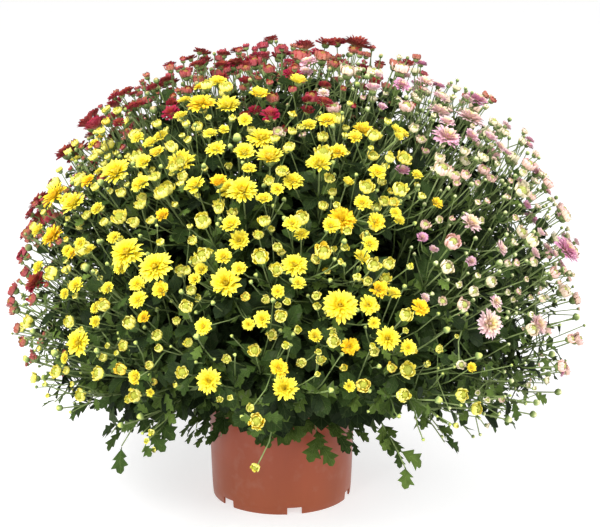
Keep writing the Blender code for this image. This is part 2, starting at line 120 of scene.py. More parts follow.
def closed_rings(rows, columns):
    """Triangles of a row of rings, each square between two rings cut in two, and a fan at each end.

    The points are the rings in order, then the foot under the first ring and the tip past the last.
    A triangle's first point lies in the column that the triangle is on.
    """
    here = np.arange(rows * columns).reshape(rows, columns)
    beside = np.roll(here, -1, 1)
    lower = np.stack([here[:-1], beside[:-1], beside[1:]], -1)
    upper = np.stack([here[:-1], beside[1:], here[1:]], -1)
    foot = np.stack([here[0], np.full(columns, here.size), beside[0]], -1)
    tip = np.stack([here[-1], beside[-1], np.full(columns, here.size + 1)], -1)
    return np.concatenate([part.reshape(-1, 3) for part in (lower, upper, foot, tip)])


def repeated(triangles, count, size):
    """One body's triangles, numbered on for each of count bodies with size points apiece."""
    return (triangles + size * np.arange(count)[:, None, None]).reshape(-1, 3)


def turned_wall(profile, angles, notch=0.0):
    """A closed turned surface: ring n holds the profile's n-th radius and height at every angle.

    A third number in the profile says how much of the notch's depth lifts that ring where a notch
    is. The first and the last ring lie on the axis, as one point each.
    """
    radius, height, lift = (column[:, None] for column in np.array(profile).T)
    height = height + lift * notch
    rings = np.stack([radius * np.sin(angles), -radius * np.cos(angles), height + 0 * angles], -1)
    points = np.concatenate([rings[1:-1].reshape(-1, 3), rings[0, :1], rings[-1, :1]])
    return points, closed_rings(len(rings) - 2, len(angles))


def wall_radius(height):
    """Outside of the wall: a straight taper, tucked in on a curve close to the foot."""
    share = np.minimum(height, RIM_UNDER) / RIM_UNDER
    straight = FOOT_RADIUS + (RIM_RADIUS - RIM_LEDGE - FOOT_RADIUS) * share
    return straight - FOOT_TUCK * np.exp(-height / TUCK_HEIGHT)


arc = np.radians(np.linspace(0, 90, 4))
early = EDGE_ROUND * (1 - np.sin(arc))
late = EDGE_ROUND * (1 - np.cos(arc))
rim_in = wall_radius(POT_HEIGHT) - WALL
foot_out = wall_radius(0.0)
foot_in = FOOT_RADIUS - FOOT_WALL
inner_heights = np.linspace(FLOOR + 0.002, POT_HEIGHT - 0.001, INNER_RINGS)
outer_heights = np.linspace(RIM_UNDER - 0.002, NOTCH_HEIGHT + 0.001, OUTER_RINGS)
pot_profile = [
    (0.0, FLOOR, 0),
    *((share * (wall_radius(FLOOR) - WALL), FLOOR, 0) for share in (0.5, 0.97, 1.0)),
    *((wall_radius(z) - WALL, z, 0) for z in inner_heights),
    *((rim_in + b, POT_HEIGHT - a, 0) for a, b in zip(early, late)),
    *((RIM_RADIUS - a, POT_HEIGHT - b, 0) for a, b in zip(early, late)),
    *((RIM_RADIUS - b, RIM_UNDER + a, 0) for a, b in zip(early, late)),
    (wall_radius(RIM_UNDER) + 0.0001, RIM_UNDER, 0),
    *((wall_radius(z), z, 0) for z in outer_heights),
    (foot_out, EDGE_ROUND, 1),
    (foot_out - EDGE_ROUND, 0.0, 1),
    (foot_in + EDGE_ROUND, 0.0, 1),
    (foot_in, EDGE_ROUND, 1),
    (foot_in, FOOT_HEIGHT - 0.0003, 0),
    (foot_in - 0.0005, FOOT_HEIGHT, 0),
    (0.0, FOOT_HEIGHT, 0),
]
notch_middles = NOTCH_TURN + around(NOTCHES)
half_notch = 0.5 * NOTCH_WIDTH / FOOT_RADIUS
notch_edges = (notch_middles[:, None] + half_notch * NOTCH_EDGES).ravel()
pot_angles = np.sort(np.concatenate([around(POT_COLUMNS), notch_edges % math.tau]))
from_notch = np.abs(half_turned(pot_angles[:, None] - notch_middles)).min(1)
notch_lift = np.where(from_notch < half_notch, NOTCH_HEIGHT - EDGE_ROUND, 0.0)
pot_points, pot_triangles = turned_wall(pot_profile, pot_angles, notch_lift)


def add_node(tree, kind, inputs=(), **settings):
    """Adds a shader node, sets its properties, and fills or links its inputs in (name, value) pairs."""
    made = tree.nodes.new(kind)
    for name, value in settings.items():
        setattr(made, name, value)
    for name, value in inputs:
        if isinstance(value, bpy.types.NodeSocket):
            tree.links.new(value, made.inputs[name])
        else:
            made.inputs[name].default_value = value
    return made


def add_math(tree, operation, *values):
    """Works out one sum with sockets or numbers."""
    return add_node(tree, "ShaderNodeMath", enumerate(values), operation=operation).outputs[0]


def add_span(tree, value, low, high, first=0.0, last=1.0):
    """Goes from first to last as a value goes from low to high, and no further."""
    names = ("Value", "From Min", "From Max", "To Min", "To Max")
    return add_node(tree, "ShaderNodeMapRange", zip(names, (value, low, high, first, last))).outputs[0]


def add_ramp(tree, value, stops):
    """A colour ramp: stops are (position, colour) pairs."""
    ramp = add_node(tree, "ShaderNodeValToRGB", [("Fac", value)])
    elements = ramp.color_ramp.elements
    while len(elements) < len(stops):
        elements.new(0.5)
    for element, (position, colour) in zip(elements, stops):
        element.position = position
        element.color = (*colour, 1.0)
    return ramp.outputs["Color"]


def add_greys(tree, value, start, first, last):
    """A ramp of greys from first, at start, to last, as far from the ramp's other end."""
    return add_ramp(tree, value, [(start, (first,) * 3), (1 - start, (last,) * 3)])


def add_mix(tree, share, first, second, blend="MIX"):
    """Mixes two colours."""
    mix = add_node(tree, "ShaderNodeMix", data_type="RGBA", blend_type=blend)
    for socket, value in zip((mix.inputs[0], mix.inputs[6], mix.inputs[7]), (share, first, second)):
        if isinstance(value, bpy.types.NodeSocket):
            tree.links.new(value, socket)
        elif isinstance(value, tuple):
            socket.default_value = (*value, 1.0)
        else:
            socket.default_value = value
    return mix.outputs[2]


def add_tint(tree, colour, tint, share=1.0):
    """Multiplies a colour by a tint, in full or by a share."""
    return add_mix(tree, share, colour, tint, "MULTIPLY")


def new_material(name, **sockets):
    """A Principled material with some of its shader's own values set, as (tree, shader, material)."""
    material = bpy.data.materials.new(name)
    material.use_nodes = True
    shader = material.node_tree.nodes["Principled BSDF"]
    for socket, value in sockets.items():
        shader.inputs[socket.replace("_", " ")].default_value = value
    return material.node_tree, shader, material


def dress(tree, shader, colour, height, depth):
    """Gives a shader its colour, and a relief of a depth in metres from a height."""
    relief = [("Height", height), ("Distance", depth), ("Strength", 1.0)]
    bump = add_node(tree, "ShaderNodeBump", relief)
    tree.links.new(colour, shader.inputs["Base Color"])
    tree.links.new(bump.outputs["Normal"], shader.inputs["Normal"])


def object_place(tree):
    """The object's own coordinates."""
    return add_node(tree, "ShaderNodeTexCoord").outputs["Object"]


def object_noise(tree, scale, detail=3.0, stretch=(1.0, 1.0, 1.0)):
    """Cloudy noise over the object's own coordinates, stretched along its axes."""
    mapping = [("Vector", object_place(tree)), ("Scale", stretch)]
    mapped = add_node(tree, "ShaderNodeMapping", mapping).outputs[0]
    noise = [("Vector", mapped), ("Scale", scale), ("Detail", detail)]
    return add_node(tree, "ShaderNodeTexNoise", noise).outputs["Fac"]


tree, shader, plastic = new_material("moulded_plastic", Roughness=0.40, Specular_IOR_Level=0.35)
clouds = object_noise(tree, 16.0, 4.0, (1.0, 1.0, 0.35))
brown = add_ramp(tree, clouds, [(0.30, (0.270, 0.060, 0.020)), (0.70, (0.330, 0.076, 0.028))])
height = add_node(tree, "ShaderNodeSeparateXYZ", [("Vector", object_place(tree))]).outputs["Z"]
brown = add_tint(tree, brown, (0.90, 0.62, 0.62), add_span(tree, height, 0.02, POT_HEIGHT))
dust = add_ramp(tree, object_noise(tree, 60.0, 6.0), [(0.55, (0, 0, 0)), (0.80, (0.12, 0.12, 0.12))])
brown = add_mix(tree, dust, brown, (0.45, 0.33, 0.26))
scuffs = add_greys(tree, object_noise(tree, 35.0, 5.0), 0.3, 0.34, 0.44)
tree.links.new(scuffs, shader.inputs["Roughness"])
dress(tree, shader, brown, object_noise(tree, 900.0, 2.0), 0.00006)

drain_profile = [
    (0.0, FLOOR + BASE_THICKNESS, 0),
    (DRAIN_RADIUS, FLOOR + BASE_THICKNESS, 0),
    (DRAIN_RADIUS, FOOT_HEIGHT - BASE_THICKNESS, 0),
    (0.0, FOOT_HEIGHT - BASE_THICKNESS, 0),
]
drain, drain_triangles = turned_wall(drain_profile, around(DRAIN_SIDES))
drain_middles = np.stack([np.sin(notch_middles), -np.cos(notch_middles), 0 * notch_middles], -1)
drain_points = (DRAIN_CIRCLE * drain_middles[:, None] + drain).reshape(-1, 3)
drain_mesh = build_mesh("drains", drain_points + AXIS, repeated(drain_triangles, NOTCHES, len(drain)))
drains = bpy.data.objects.new("drains", drain_mesh)
blank = bpy.data.objects.new("blank", build_mesh("blank", pot_points + AXIS, pot_triangles))
for part in (blank, drains):
    bpy.context.scene.collection.objects.link(part)
drilling = blank.modifiers.new("drilling", "BOOLEAN")
drilling.object = drains
drilled = blank.evaluated_get(bpy.context.evaluated_depsgraph_get())
pot_mesh = bpy.data.meshes.new_from_object(drilled)
for part in (blank, drains):
    bpy.data.objects.remove(part)
add_piece("plastic_pot", pot_mesh, plastic, "terracotta_plastic", "pot")

# Soil. Dark peat with bark crumbs and a little white perlite, filled loosely to a finger's breadth
# under the rim, so its surface is rough.
SOIL_BOTTOM, SOIL_TOP = (corner[2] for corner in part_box("soil"))
SOIL_GAP = 0.0006
SOIL_RINGS = 28
SOIL_COLUMNS = 96
SOIL_SEED = 3
SOIL_WAVES = 9
FIRST_PITCH = 90.0
FINER = 1.55
LOWER = 0.72
WAVE_HEIGHT = 0.0011
MOST_RELIEF = 0.004
CALM_EDGE = 0.004
CRUMBS = 180
CRUMB_SEED = 5
CRUMB_SIZES = (0.0010, 0.0030)
LUMP_SIDES = 8


def soil_relief(x, y):
    """Height of the rough soil: a sum of sine waves in seeded directions, each finer and lower."""
    draw = np.random.default_rng(SOIL_SEED)
    total = 0 * x
    for number in range(SOIL_WAVES):
        turn, shift = draw.random(2) * math.tau
        across = x * math.cos(turn) + y * math.sin(turn)
        total += np.sin(FIRST_PITCH * FINER**number * across + shift) * LOWER**number
    return np.clip(WAVE_HEIGHT * total, -MOST_RELIEF, MOST_RELIEF)


def lumps(centre, radius, draw):
    """Rough closed lumps: a ball of three rings, each point pushed in or out by chance."""
    polar = np.radians([45, 90, 135])[:, None]
    turn = around(LUMP_SIDES)
    flat = np.sin(polar)
    ball = np.stack([flat * np.cos(turn), flat * np.sin(turn), np.cos(polar) + 0 * turn], -1)
    ball = np.concatenate([ball.reshape(-1, 3)[::-1], [[0, 0, -1], [0, 0, 1]]])
    size = radius[:, None, None] * draw.uniform(0.65, 1.15, (len(centre), len(ball), 1))
    squash = draw.uniform(0.6, 1.0, (len(centre), 1, 3))
    points = centre[:, None] + ball * size * squash
    triangles = closed_rings(len(polar), LUMP_SIDES)[:, ::-1]
    return points.reshape(-1, 3), repeated(triangles, len(centre), len(ball))


soil_foot, soil_radius = (wall_radius(z) - WALL - SOIL_GAP for z in (SOIL_BOTTOM, SOIL_TOP))
soil_profile = [(0.0, SOIL_BOTTOM, 0), (soil_foot, SOIL_BOTTOM, 0)]
soil_profile += [(soil_radius * share, SOIL_TOP, 0) for share in np.linspace(1, 0, SOIL_RINGS) ** 0.8]
soil_points, soil_triangles = turned_wall(soil_profile, around(SOIL_COLUMNS))
soil_x, soil_y = soil_points[:, :2].T
inward = np.clip((soil_radius - np.hypot(soil_x, soil_y)) / CALM_EDGE, 0, 1)
top = soil_points[:, 2] > SOIL_TOP - 1e-6
soil_points[:, 2] += top * inward * soil_relief(soil_x, soil_y)

draw = np.random.default_rng(CRUMB_SEED)
crumb_turn = draw.uniform(0, math.tau, CRUMBS)
crumb_out = (soil_radius - CALM_EDGE) * np.sqrt(draw.random(CRUMBS))
crumb_size = draw.uniform(*CRUMB_SIZES, CRUMBS)
crumb_x = crumb_out * np.sin(crumb_turn)
crumb_y = -crumb_out * np.cos(crumb_turn)
crumb_z = SOIL_TOP + soil_relief(crumb_x, crumb_y) + 0.2 * crumb_size
crumb_points, crumb_triangles = lumps(np.stack([crumb_x, crumb_y, crumb_z], -1), crumb_size, draw)

tree, shader, peat = new_material("peat", Roughness=0.95)
grain = object_noise(tree, 420.0, 6.0)
peat_colour = add_ramp(tree, grain, [(0.3, (0.012, 0.008, 0.005)), (0.6, (0.050, 0.031, 0.018))])
dress(tree, shader, peat_colour, grain, 0.0012)
soil_mesh = build_mesh("soil_surface", soil_points + AXIS, soil_triangles)
add_piece("soil_surface", soil_mesh, peat, "potting_soil", "soil")

tree, shader, bark = new_material("bark_and_perlite", Roughness=0.9)
cells = add_node(tree, "ShaderNodeTexVoronoi", [("Vector", object_place(tree)), ("Scale", 130.0)])
kind = add_node(tree, "ShaderNodeSeparateColor", [("Color", cells.outputs["Color"])]).outputs[0]
crumb_colour = add_ramp(
    tree, kind, [(0.0, (0.030, 0.018, 0.010)), (0.80, (0.110, 0.060, 0.030)), (0.86, (0.55, 0.53, 0.48))]
)
dress(tree, shader, crumb_colour, object_noise(tree, 700.0, 4.0), 0.0006)
crumb_mesh = build_mesh("soil_crumbs", crumb_points + AXIS, crumb_triangles)
add_piece("soil_crumbs", crumb_mesh, bark, "potting_soil", "soil")

# Main stems. Thirty-six green stems, woody and brown where they leave the soil, that rise out of
# their holes and arch outwards, each towards its own share of the dome of flowers.
CROWN = np.array([0.0, 0.0, 0.150])
DOME_CENTRE = np.array([0.022, 0.0, 0.254])
DOME_RADIUS = 0.382
DOME_RISE = 0.357
DOME_DROP = 0.215
LOWEST = math.radians(92)
# Where the dome's lower edge rises: azimuth and half span in degrees, and by how much
LIFTS = ((0, 38, 0.17), (-78, 34, 0.07), (95, 45, 0.03))
GOLDEN_ANGLE = math.pi * (3 - math.sqrt(5))
STEMS = 36
STEM_REACH = 0.60
STEM_STATIONS = 13
STEM_SIDES = 8
STEM_RADII = (0.0034, 0.0019)
JOINT_SWELL = 1.12
HOLE_CIRCLE = 0.077
HOLE_DEPTH = 0.020
PLANTS = ("yellow", "red", "pink")
# Plant, polar angle and azimuth in degrees, and strength of the zones that the plants fill
PLANT_SEATS = (
    ("yellow", 78, -30, 1.00),
    ("yellow", 58, 6, 0.85),
    ("yellow", 92, 28, 0.60),
    ("pink", 55, 96, 1.00),
    ("pink", 74, 54, 0.80),
    ("red", 40, -150, 1.00),
    ("red", 84, -112, 0.90),
    ("red", 84, -170, 0.98),
)
NODES = {
    plant: sorted(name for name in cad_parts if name.startswith(f"{plant}_stem_")) for plant in PLANTS
}
UP = np.array([0.0, 0.0, 1.0])
RIGHT = np.array([1.0, 0.0, 0.0])


def unit(vectors):
    """Vectors scaled to length one."""
    return vectors / np.linalg.norm(vectors, axis=-1, keepdims=True)


def heading(polar, azimuth):
    """Unit vectors at polar angles from +Z and azimuths from the front, -Y, towards +X."""
    flat = np.sin(polar)
    return np.stack([flat * np.sin(azimuth), -flat * np.cos(azimuth), np.cos(polar)], -1)


def level(azimuth):
    """Level unit vectors at azimuths from the front."""
    return heading(np.full(len(azimuth), math.pi / 2), azimuth)


def square_to(direction, steep=0.8, start=None):
    """Two unit vectors square to each direction and to each other, the first one level.

    Where the direction at the start of the path climbs past steep, the first is square to +X.
    """
    start = direction if start is None else start
    guide = np.where(np.abs(start[..., 2:]) < steep, UP, RIGHT)
    first = unit(np.cross(guide, direction))
    return first, np.cross(direction, first)


def squared(vectors, direction):
    """What is left of vectors once their part along a direction is taken away, at length one."""
    return unit(vectors - (vectors * direction).sum(1, keepdims=True) * direction)


def lifted(polar, azimuth):
    """Polar angles, made smaller at the azimuths where the dome's lower edge rises."""
    for middle, span, lift in LIFTS:
        turn = half_turned(azimuth - math.radians(middle))
        polar = polar * (1 - lift * np.exp(-((turn / math.radians(span)) ** 2)))
    return polar


def reach(direction):
    """Distances from the crown to the dome: each ray meets an upper or a lower ellipsoid."""
    distances = []
    for depth in (DOME_RISE, DOME_DROP):
        scale = 1 / np.array([DOME_RADIUS, DOME_RADIUS, depth])
        ray = direction * scale
        origin = (CROWN - DOME_CENTRE) * scale
        a = (ray * ray).sum(-1)
        b = ray @ origin
        distances.append((-b + np.sqrt(b * b - a * (origin @ origin - 1))) / a)
    above = CROWN[2] - DOME_CENTRE[2] + distances[0] * direction[..., 2] >= 0
    return np.where(above, distances[0], distances[1])


def spiral(count):
    """Evenly spread polar angles and azimuths over the dome, along a golden-angle spiral."""
    step = np.arange(count)
    polar = np.arccos(1 - (step + 0.5) / count * (1 - math.cos(LOWEST)))
    return polar, half_turned(step * GOLDEN_ANGLE)


def along_curves(ends, t):
    """The four control points of cubic curves, and the parameters t and 1 - t, ready to multiply."""
    t = np.broadcast_to(t, (len(ends[0]), np.shape(t)[-1]))[..., None]
    return *(end[:, None] for end in ends), t, 1 - t


def bezier(ends, t):
    """Cubic curves: four arrays of control points, at parameters t, as (curve, parameter, xyz)."""
    a, b, c, d, t, s = along_curves(ends, t)
    return s**3 * a + 3 * s * s * t * b + 3 * s * t * t * c + t**3 * d


def bezier_heading(ends, t):
    """Unit tangents of cubic curves at parameters t."""
    a, b, c, d, t, s = along_curves(ends, t)
    return unit(s * s * (b - a) + 2 * s * t * (c - b) + t * t * (d - c))


def ringed_skin(points, shares, across, tone, middle=0.0, two_faced=False):
    """One skin of many bodies made of rings, as points, own coordinates, triangles and which face back.

    points is (body, point, xyz), in the order of closed_rings. A point's own coordinates are its
    ring's share of the length, its column's place across, with the middle at foot and tip, and its
    body's tone. The second half of the columns of a two-faced body is its back.
    """
    count, size = points.shape[:2]
    rows, columns = len(shares), len(across)
    place = np.empty(points.shape)
    place[..., 0] = [*np.repeat(shares, columns), 0, 1]
    place[..., 1] = [*np.tile(across, rows), middle, middle]
    place[..., 2] = tone[:, None]
    triangles = closed_rings(rows, columns)
    reverse = two_faced * (triangles[:, 0] % columns >= columns / 2)
    skin = points.reshape(-1, 3), place.reshape(-1, 3)
    return *skin, repeated(triangles, count, size), np.tile(reverse, count)


def join_skins(skins):
    """Several skins as one."""
    points, places, triangles, reverses = zip(*skins)
    starts = np.cumsum([0] + [len(part) for part in points[:-1]])
    triangles = [part + start for part, start in zip(triangles, starts)]
    return [np.concatenate(parts) for parts in (points, places, triangles, reverses)]


def tubes(paths, radii, sides, tone, closing=0.3):
    """Round closed tubes: a ring of points stands square to each path at each of its points.

    paths is (tube, station, xyz), radii (tube, station). A point just past each end closes it. The
    surface's own coordinates are the share of the length, the turn round the tube and the tone.
    """
    count, stations = paths.shape[:2]
    along = unit(np.gradient(paths, axis=1))
    across, other = square_to(along, start=along[:, :1])
    turn = around(sides)[:, None]
    ring = np.cos(turn) * across[:, :, None] + np.sin(turn) * other[:, :, None]
    rings = paths[:, :, None] + radii[:, :, None, None] * ring
    foot = paths[:, 0] - closing * radii[:, :1] * along[:, 0]
    tip = paths[:, -1] + closing * radii[:, -1:] * along[:, -1]
    points = np.concatenate([rings.reshape(count, -1, 3), foot[:, None], tip[:, None]], 1)
    return ringed_skin(points, np.linspace(0, 1, stations), np.arange(sides) / sides, tone)


def add_skin(name, skin, material, plant):
    """A piece of one plant from a skin. Its mesh keeps place at each point and reverse at each face."""
    points, place, triangles, reverse = skin
    mesh = build_mesh(name, points + AXIS, triangles)
    mesh.attributes.new("place", "FLOAT_VECTOR", "POINT").data.foreach_set(
        "vector", place.astype(np.float32).ravel()
    )
    mesh.attributes.new("reverse", "FLOAT", "FACE").data.foreach_set("value", reverse.astype(np.float32))
    add_piece(name, mesh, material, f"{plant}_plant", *NODES[plant])


stem_polar, stem_azimuth = spiral(STEMS)
stem_heading = heading(lifted(stem_polar, stem_azimuth), stem_azimuth)
stem_lean = np.hypot(stem_heading[:, 0], stem_heading[:, 1])[:, None]
seat_names, seat_polar, seat_azimuth, seat_strength = zip(*PLANT_SEATS)
seat_heading = heading(np.radians(seat_polar), np.radians(seat_azimuth))
from_seat = np.arccos(np.clip(stem_heading @ seat_heading.T, -1, 1))
nearest_seat = np.argmin(from_seat / np.array(seat_strength), 1)
stem_plant = np.array([PLANTS.index(name) for name in seat_names])[nearest_seat]
hole_out = HOLE_CIRCLE * np.sqrt((1 - np.cos(stem_polar)) / (1 - math.cos(LOWEST)))
stem_outward = level(stem_azimuth)
stem_foot = stem_outward * hole_out[:, None] + UP * (SOIL_TOP + 0.004)
stem_far = STEM_REACH * reach(stem_heading)[:, None]
stem_end = CROWN + stem_far * stem_heading
stem_curve = (
    stem_foot,
    stem_foot + stem_outward * 0.003 * stem_lean + UP * 0.050,
    stem_end - 0.30 * stem_far * (stem_heading - UP * 0.28 * stem_lean**4),
    stem_end,
)
stem_paths = bezier(stem_curve, np.linspace(0, 1, STEM_STATIONS))
stem_paths = np.concatenate([stem_foot[:, None] - UP * HOLE_DEPTH, stem_paths], 1)
stem_radii = np.tile(np.linspace(*STEM_RADII, STEM_STATIONS + 1), (STEMS, 1))
stem_radii[:, 3::3] *= JOINT_SWELL
stem_tone = np.random.default_rng(11).random(STEMS)


def own_place(tree):
    """The surface's own coordinates: share of the length, share of the width or turn, and tone."""
    place = add_node(tree, "ShaderNodeAttribute", attribute_name="place").outputs["Vector"]
    split = add_node(tree, "ShaderNodeSeparateXYZ", [("Vector", place)])
    return split.outputs["X"], split.outputs["Y"], split.outputs["Z"]


def add_wave(tree, value, count, shape="SINE"):
    """A wave that rises and falls count times as a value goes from 0 to 1."""
    return add_math(tree, shape, add_math(tree, "MULTIPLY", value, math.tau * count))


def green_bark(name, stops, roughness):
    """Ribbed green bark: a colour along the stem, patched by noise, with fine ribs along it."""
    tree, shader, material = new_material(name, Roughness=roughness, Specular_IOR_Level=0.2)
    along, turn, tone = own_place(tree)
    colour = add_ramp(tree, along, stops)
    colour = add_tint(tree, colour, add_greys(tree, object_noise(tree, 120.0, 4.0), 0.35, 0.72, 1.12))
    colour = add_tint(tree, colour, (0.82, 0.90, 0.70), tone)
    dress(tree, shader, colour, add_wave(tree, turn, 6), 0.00015)
    return material


stem_bark = green_bark(
    "woody_stem",
    [(0.0, (0.085, 0.050, 0.026)), (0.25, (0.105, 0.085, 0.038)), (0.60, (0.120, 0.150, 0.055))],
    0.75,
)
for number, plant in enumerate(PLANTS):
    mine = stem_plant == number
    skin = tubes(stem_paths[mine], stem_radii[mine], STEM_SIDES, stem_tone[mine])
    add_skin(f"{plant}_main_stems", skin, stem_bark, plant)

# Flowering branches. Each bloom of the dome ends a thin pale branch that leaves a main stem
# sideways and straightens towards the light.
HEADS = 330
PLAN_SEED = 31
SCATTER = math.radians(1.9)
OPEN, CUP, BUD, OPENING = range(4)
# Least radius and range of the open blooms, the cups and the buds, and how much less low down
HEAD_RADII = ((0.015, 0.0065), (0.0085, 0.0035), (0.0042, 0.0018))
LOW_LOSS = 0.15
# How far below its middle each kind of head stands on its stalk, as a share of its radius
STALK_UNDER = (0.32, 0.75, 1.0)
# Heads get low from this polar angle in degrees on, over so many more, and fewer of those open
LOW_FROM = 56
LOW_OVER = 20
OPEN_SHARE = 0.38
OPEN_OR_CUP_SHARE = 0.92
LOW_CLOSED = 0.30
# Share of the way to the dome at which the heads stand, and how much further out they can be
HEAD_DEPTH = 0.925
HEAD_RANGE = 0.070

draw = np.random.default_rng(PLAN_SEED)
rolls = [np.concatenate([draw.normal(0, SCATTER, 2), draw.random(5)]) for _ in range(HEADS)]
polar_roll, azimuth_roll, height_roll, chance, size_roll, facing, spin_roll = np.array(rolls).T
head_spin = spin_roll * math.tau
head_polar, head_azimuth = spiral(HEADS)
head_polar = np.abs(head_polar + polar_roll)
head_azimuth = head_azimuth + azimuth_roll / np.maximum(np.sin(head_polar), 0.15)
head_polar = lifted(head_polar, head_azimuth)
lowness = np.maximum(0.0, (np.degrees(head_polar) - LOW_FROM) / LOW_OVER)
least_cup = OPEN_SHARE - LOW_CLOSED * lowness
least_bud = OPEN_OR_CUP_SHARE - LOW_CLOSED * lowness
head_kind = np.where(chance < least_cup, OPEN, np.where(chance < least_bud, CUP, BUD))
head_heading = heading(head_polar, head_azimuth)
head_share = HEAD_DEPTH + HEAD_RANGE * height_roll
head_centre = CROWN + (head_share * reach(head_heading))[:, None] * head_heading
head_radius = np.choose(head_kind, [least + growth * size_roll for least, growth in HEAD_RADII])
head_radius *= 1 - LOW_LOSS * np.minimum(lowness, 1)
head_stem = np.argmax(head_heading @ stem_heading.T, 1)
head_plant = stem_plant[head_stem]
off_stem = np.arccos(np.clip((head_heading * stem_heading[head_stem]).sum(1), -1, 1))
draw = np.random.default_rng(12)
branch_start = np.clip(0.98 - 1.5 * off_stem + draw.uniform(-0.08, 0.02, HEADS), 0.48, 1.0)[:, None]
own_stem = [end[head_stem] for end in stem_curve]
branch_root = bezier(own_stem, branch_start)[:, 0]
branch_lead = bezier_heading(own_stem, branch_start)[:, 0]
wander = level(head_spin) * (0.30 * (facing - 0.5))[:, None]
head_axis = unit(0.6 * head_heading + 1.1 * unit(head_centre - branch_root) + 0.30 * UP + wander)
branch_tip = head_centre - (np.choose(head_kind, STALK_UNDER) * head_radius)[:, None] * head_axis
branch_span = np.linalg.norm(branch_tip - branch_root, axis=1, keepdims=True)
branch_curve = (
    branch_root,
    branch_root + 0.30 * branch_span * unit(branch_lead + 0.5 * head_heading),
    branch_tip - 0.38 * branch_span * head_axis,
    branch_tip,
)
branch_paths = bezier(branch_curve, np.linspace(0, 1, 7))
branch_radii = np.linspace(1, 0, 7) * 0.0006 + draw.uniform(0.0008, 0.0010, (HEADS, 1))
head_tone = draw.random(HEADS)

# Side heads. Between the blooms each branch forks below its tip into thin twigs, which carry
# smaller blooms, half-open heads and round green buds, as in a loose cluster.
SIDE_HEADS = 1930
SIDE_SEED = 21
SIDE_TRIES = 30
# Kind, share of the side heads, least radius and range, how deep under the dome they can stand, and
# the shares of them that are missing low down, at the sides, and on each plant
SIDE_KINDS = (
    (OPEN, 0.15, 0.0074, 0.0062, 0.028, 0.97, 0.85, (0.0, 0.20, 0.55)),
    (CUP, 0.15, 0.0058, 0.0024, 0.036, 0.88, 0.70, (0.0, 0.10, 0.50)),
    (OPENING, 0.29, 0.0042, 0.0020, 0.050, 0.62, 0.55, (0.0, 0.0, 0.0)),
    (BUD, 0.41, 0.0024, 0.0015, 0.060, 0.25, 0.0, (0.2, 0.2, 0.0)),
)
# How much of the loss at the sides each plant has
SIDE_LOSSES = (1.0, 0.45, 0.35)
# Shares of each plant's side heads on a long twig, which strays in among the neighbouring plants
STRAYS = (0.10, 0.50, 0.22)
STRAY_STRETCH = 2.5
LEAST_TWIG = 0.012
TWIG_RANGE = 0.044
# The side heads keep a little inside the dome, which is fullest towards its upper left and its
# right shoulder, and tucked in below
FULLNESS = 0.985
SHOULDERS = heading(np.radians([20, 33]), np.radians([-85, 86]))
SHOULDER_SWELL = 0.036
SHOULDER_FALL = 18
SKIRT_TUCK = 0.07
SKIRT_TOP = 0.12
SKIRT_DEPTH = 0.2
# Room that a wide bloom takes, as a share of its radius, and the gap left between heads
BLOOM_ROOM = 0.80
HEAD_GAP = 0.0008
# How far below its middle each kind of side head stands on its twig, as a share of its radius
SIDE_UNDER = (0.36, 0.80, 0.95, 0.95)

draw = np.random.default_rng(SIDE_SEED)
places = np.concatenate([head_centre, np.zeros((SIDE_HEADS, 3))])
rooms = np.concatenate([np.choose(head_kind, [BLOOM_ROOM, 0.95, 1.0]) * head_radius, np.zeros(SIDE_HEADS)])
side_radius, side_kind, parents = np.zeros((3, SIDE_HEADS))
wanted = np.cumsum([round(kind[1] * SIDE_HEADS) for kind in SIDE_KINDS])
side_count = 0
for number in range(SIDE_TRIES * SIDE_HEADS):
    if side_count == SIDE_HEADS:
        break
    row = min(np.searchsorted(wanted, side_count, "right"), len(SIDE_KINDS) - 1)
    kind, _, least, growth, depth, low_loss, side_loss, plant_loss = SIDE_KINDS[row]
    parent = number % HEADS
    turn, out, drop, size, keep, stray = draw.random(6)
    forward = head_heading[parent]
    plant = head_plant[parent]
    stretch = STRAY_STRETCH if stray < STRAYS[plant] else 1.0
    aside = forward[0] ** 2
    low = min(1.0, 1.5 * lowness[parent])
    kept = (1 - low_loss * low) * (1 - side_loss * SIDE_LOSSES[plant] * aside) * (1 - plant_loss[plant])
    if keep > kept:
        continue
    radius = (least + growth * size * (1 - 0.5 * aside)) * (1 - 0.12 * aside - 0.16 * low)
    across = unit(np.cross(UP, forward))
    sideways = math.cos(turn * math.tau) * across + math.sin(turn * math.tau) * np.cross(forward, across)
    off_axis = stretch * (LEAST_TWIG + TWIG_RANGE * out) * sideways
    towards = unit(head_centre[parent] + off_axis - CROWN)
    shoulder = max(0.0, (SHOULDERS @ towards).max()) ** SHOULDER_FALL
    skirt = min(1.0, max(0.0, SKIRT_TOP - towards[2]) / SKIRT_DEPTH)
    full = FULLNESS + SHOULDER_SWELL * shoulder - SKIRT_TUCK * skirt
    centre = CROWN + (full * reach(towards) - depth * drop**1.3) * towards
    taken = HEADS + side_count
    room = BLOOM_ROOM * radius if kind == OPEN else radius
    if np.any(np.linalg.norm(places[:taken] - centre, axis=1) < rooms[:taken] + room + HEAD_GAP):
        continue
    places[taken], rooms[taken] = centre, room
    side_radius[side_count], side_kind[side_count], parents[side_count] = radius, kind, parent
    side_count += 1
side_centre = places[HEADS:][:side_count]
side_radius = side_radius[:side_count]
side_kind = side_kind[:side_count].astype(int)
parents = parents[:side_count].astype(int)
fork = draw.uniform(0.45, 0.82, (side_count, 1))
own_branch = [end[parents] for end in branch_curve]
twig_root = bezier(own_branch, fork)[:, 0]
twig_lead = bezier_heading(own_branch, fork)[:, 0]
side_axis = unit(
    1.0 * unit(side_centre - CROWN) + 0.5 * unit(side_centre - twig_root) + 0.20 * UP
    + draw.normal(0, 0.16, (side_count, 3))
)
twig_tip = side_centre - (np.choose(side_kind, SIDE_UNDER) * side_radius)[:, None] * side_axis
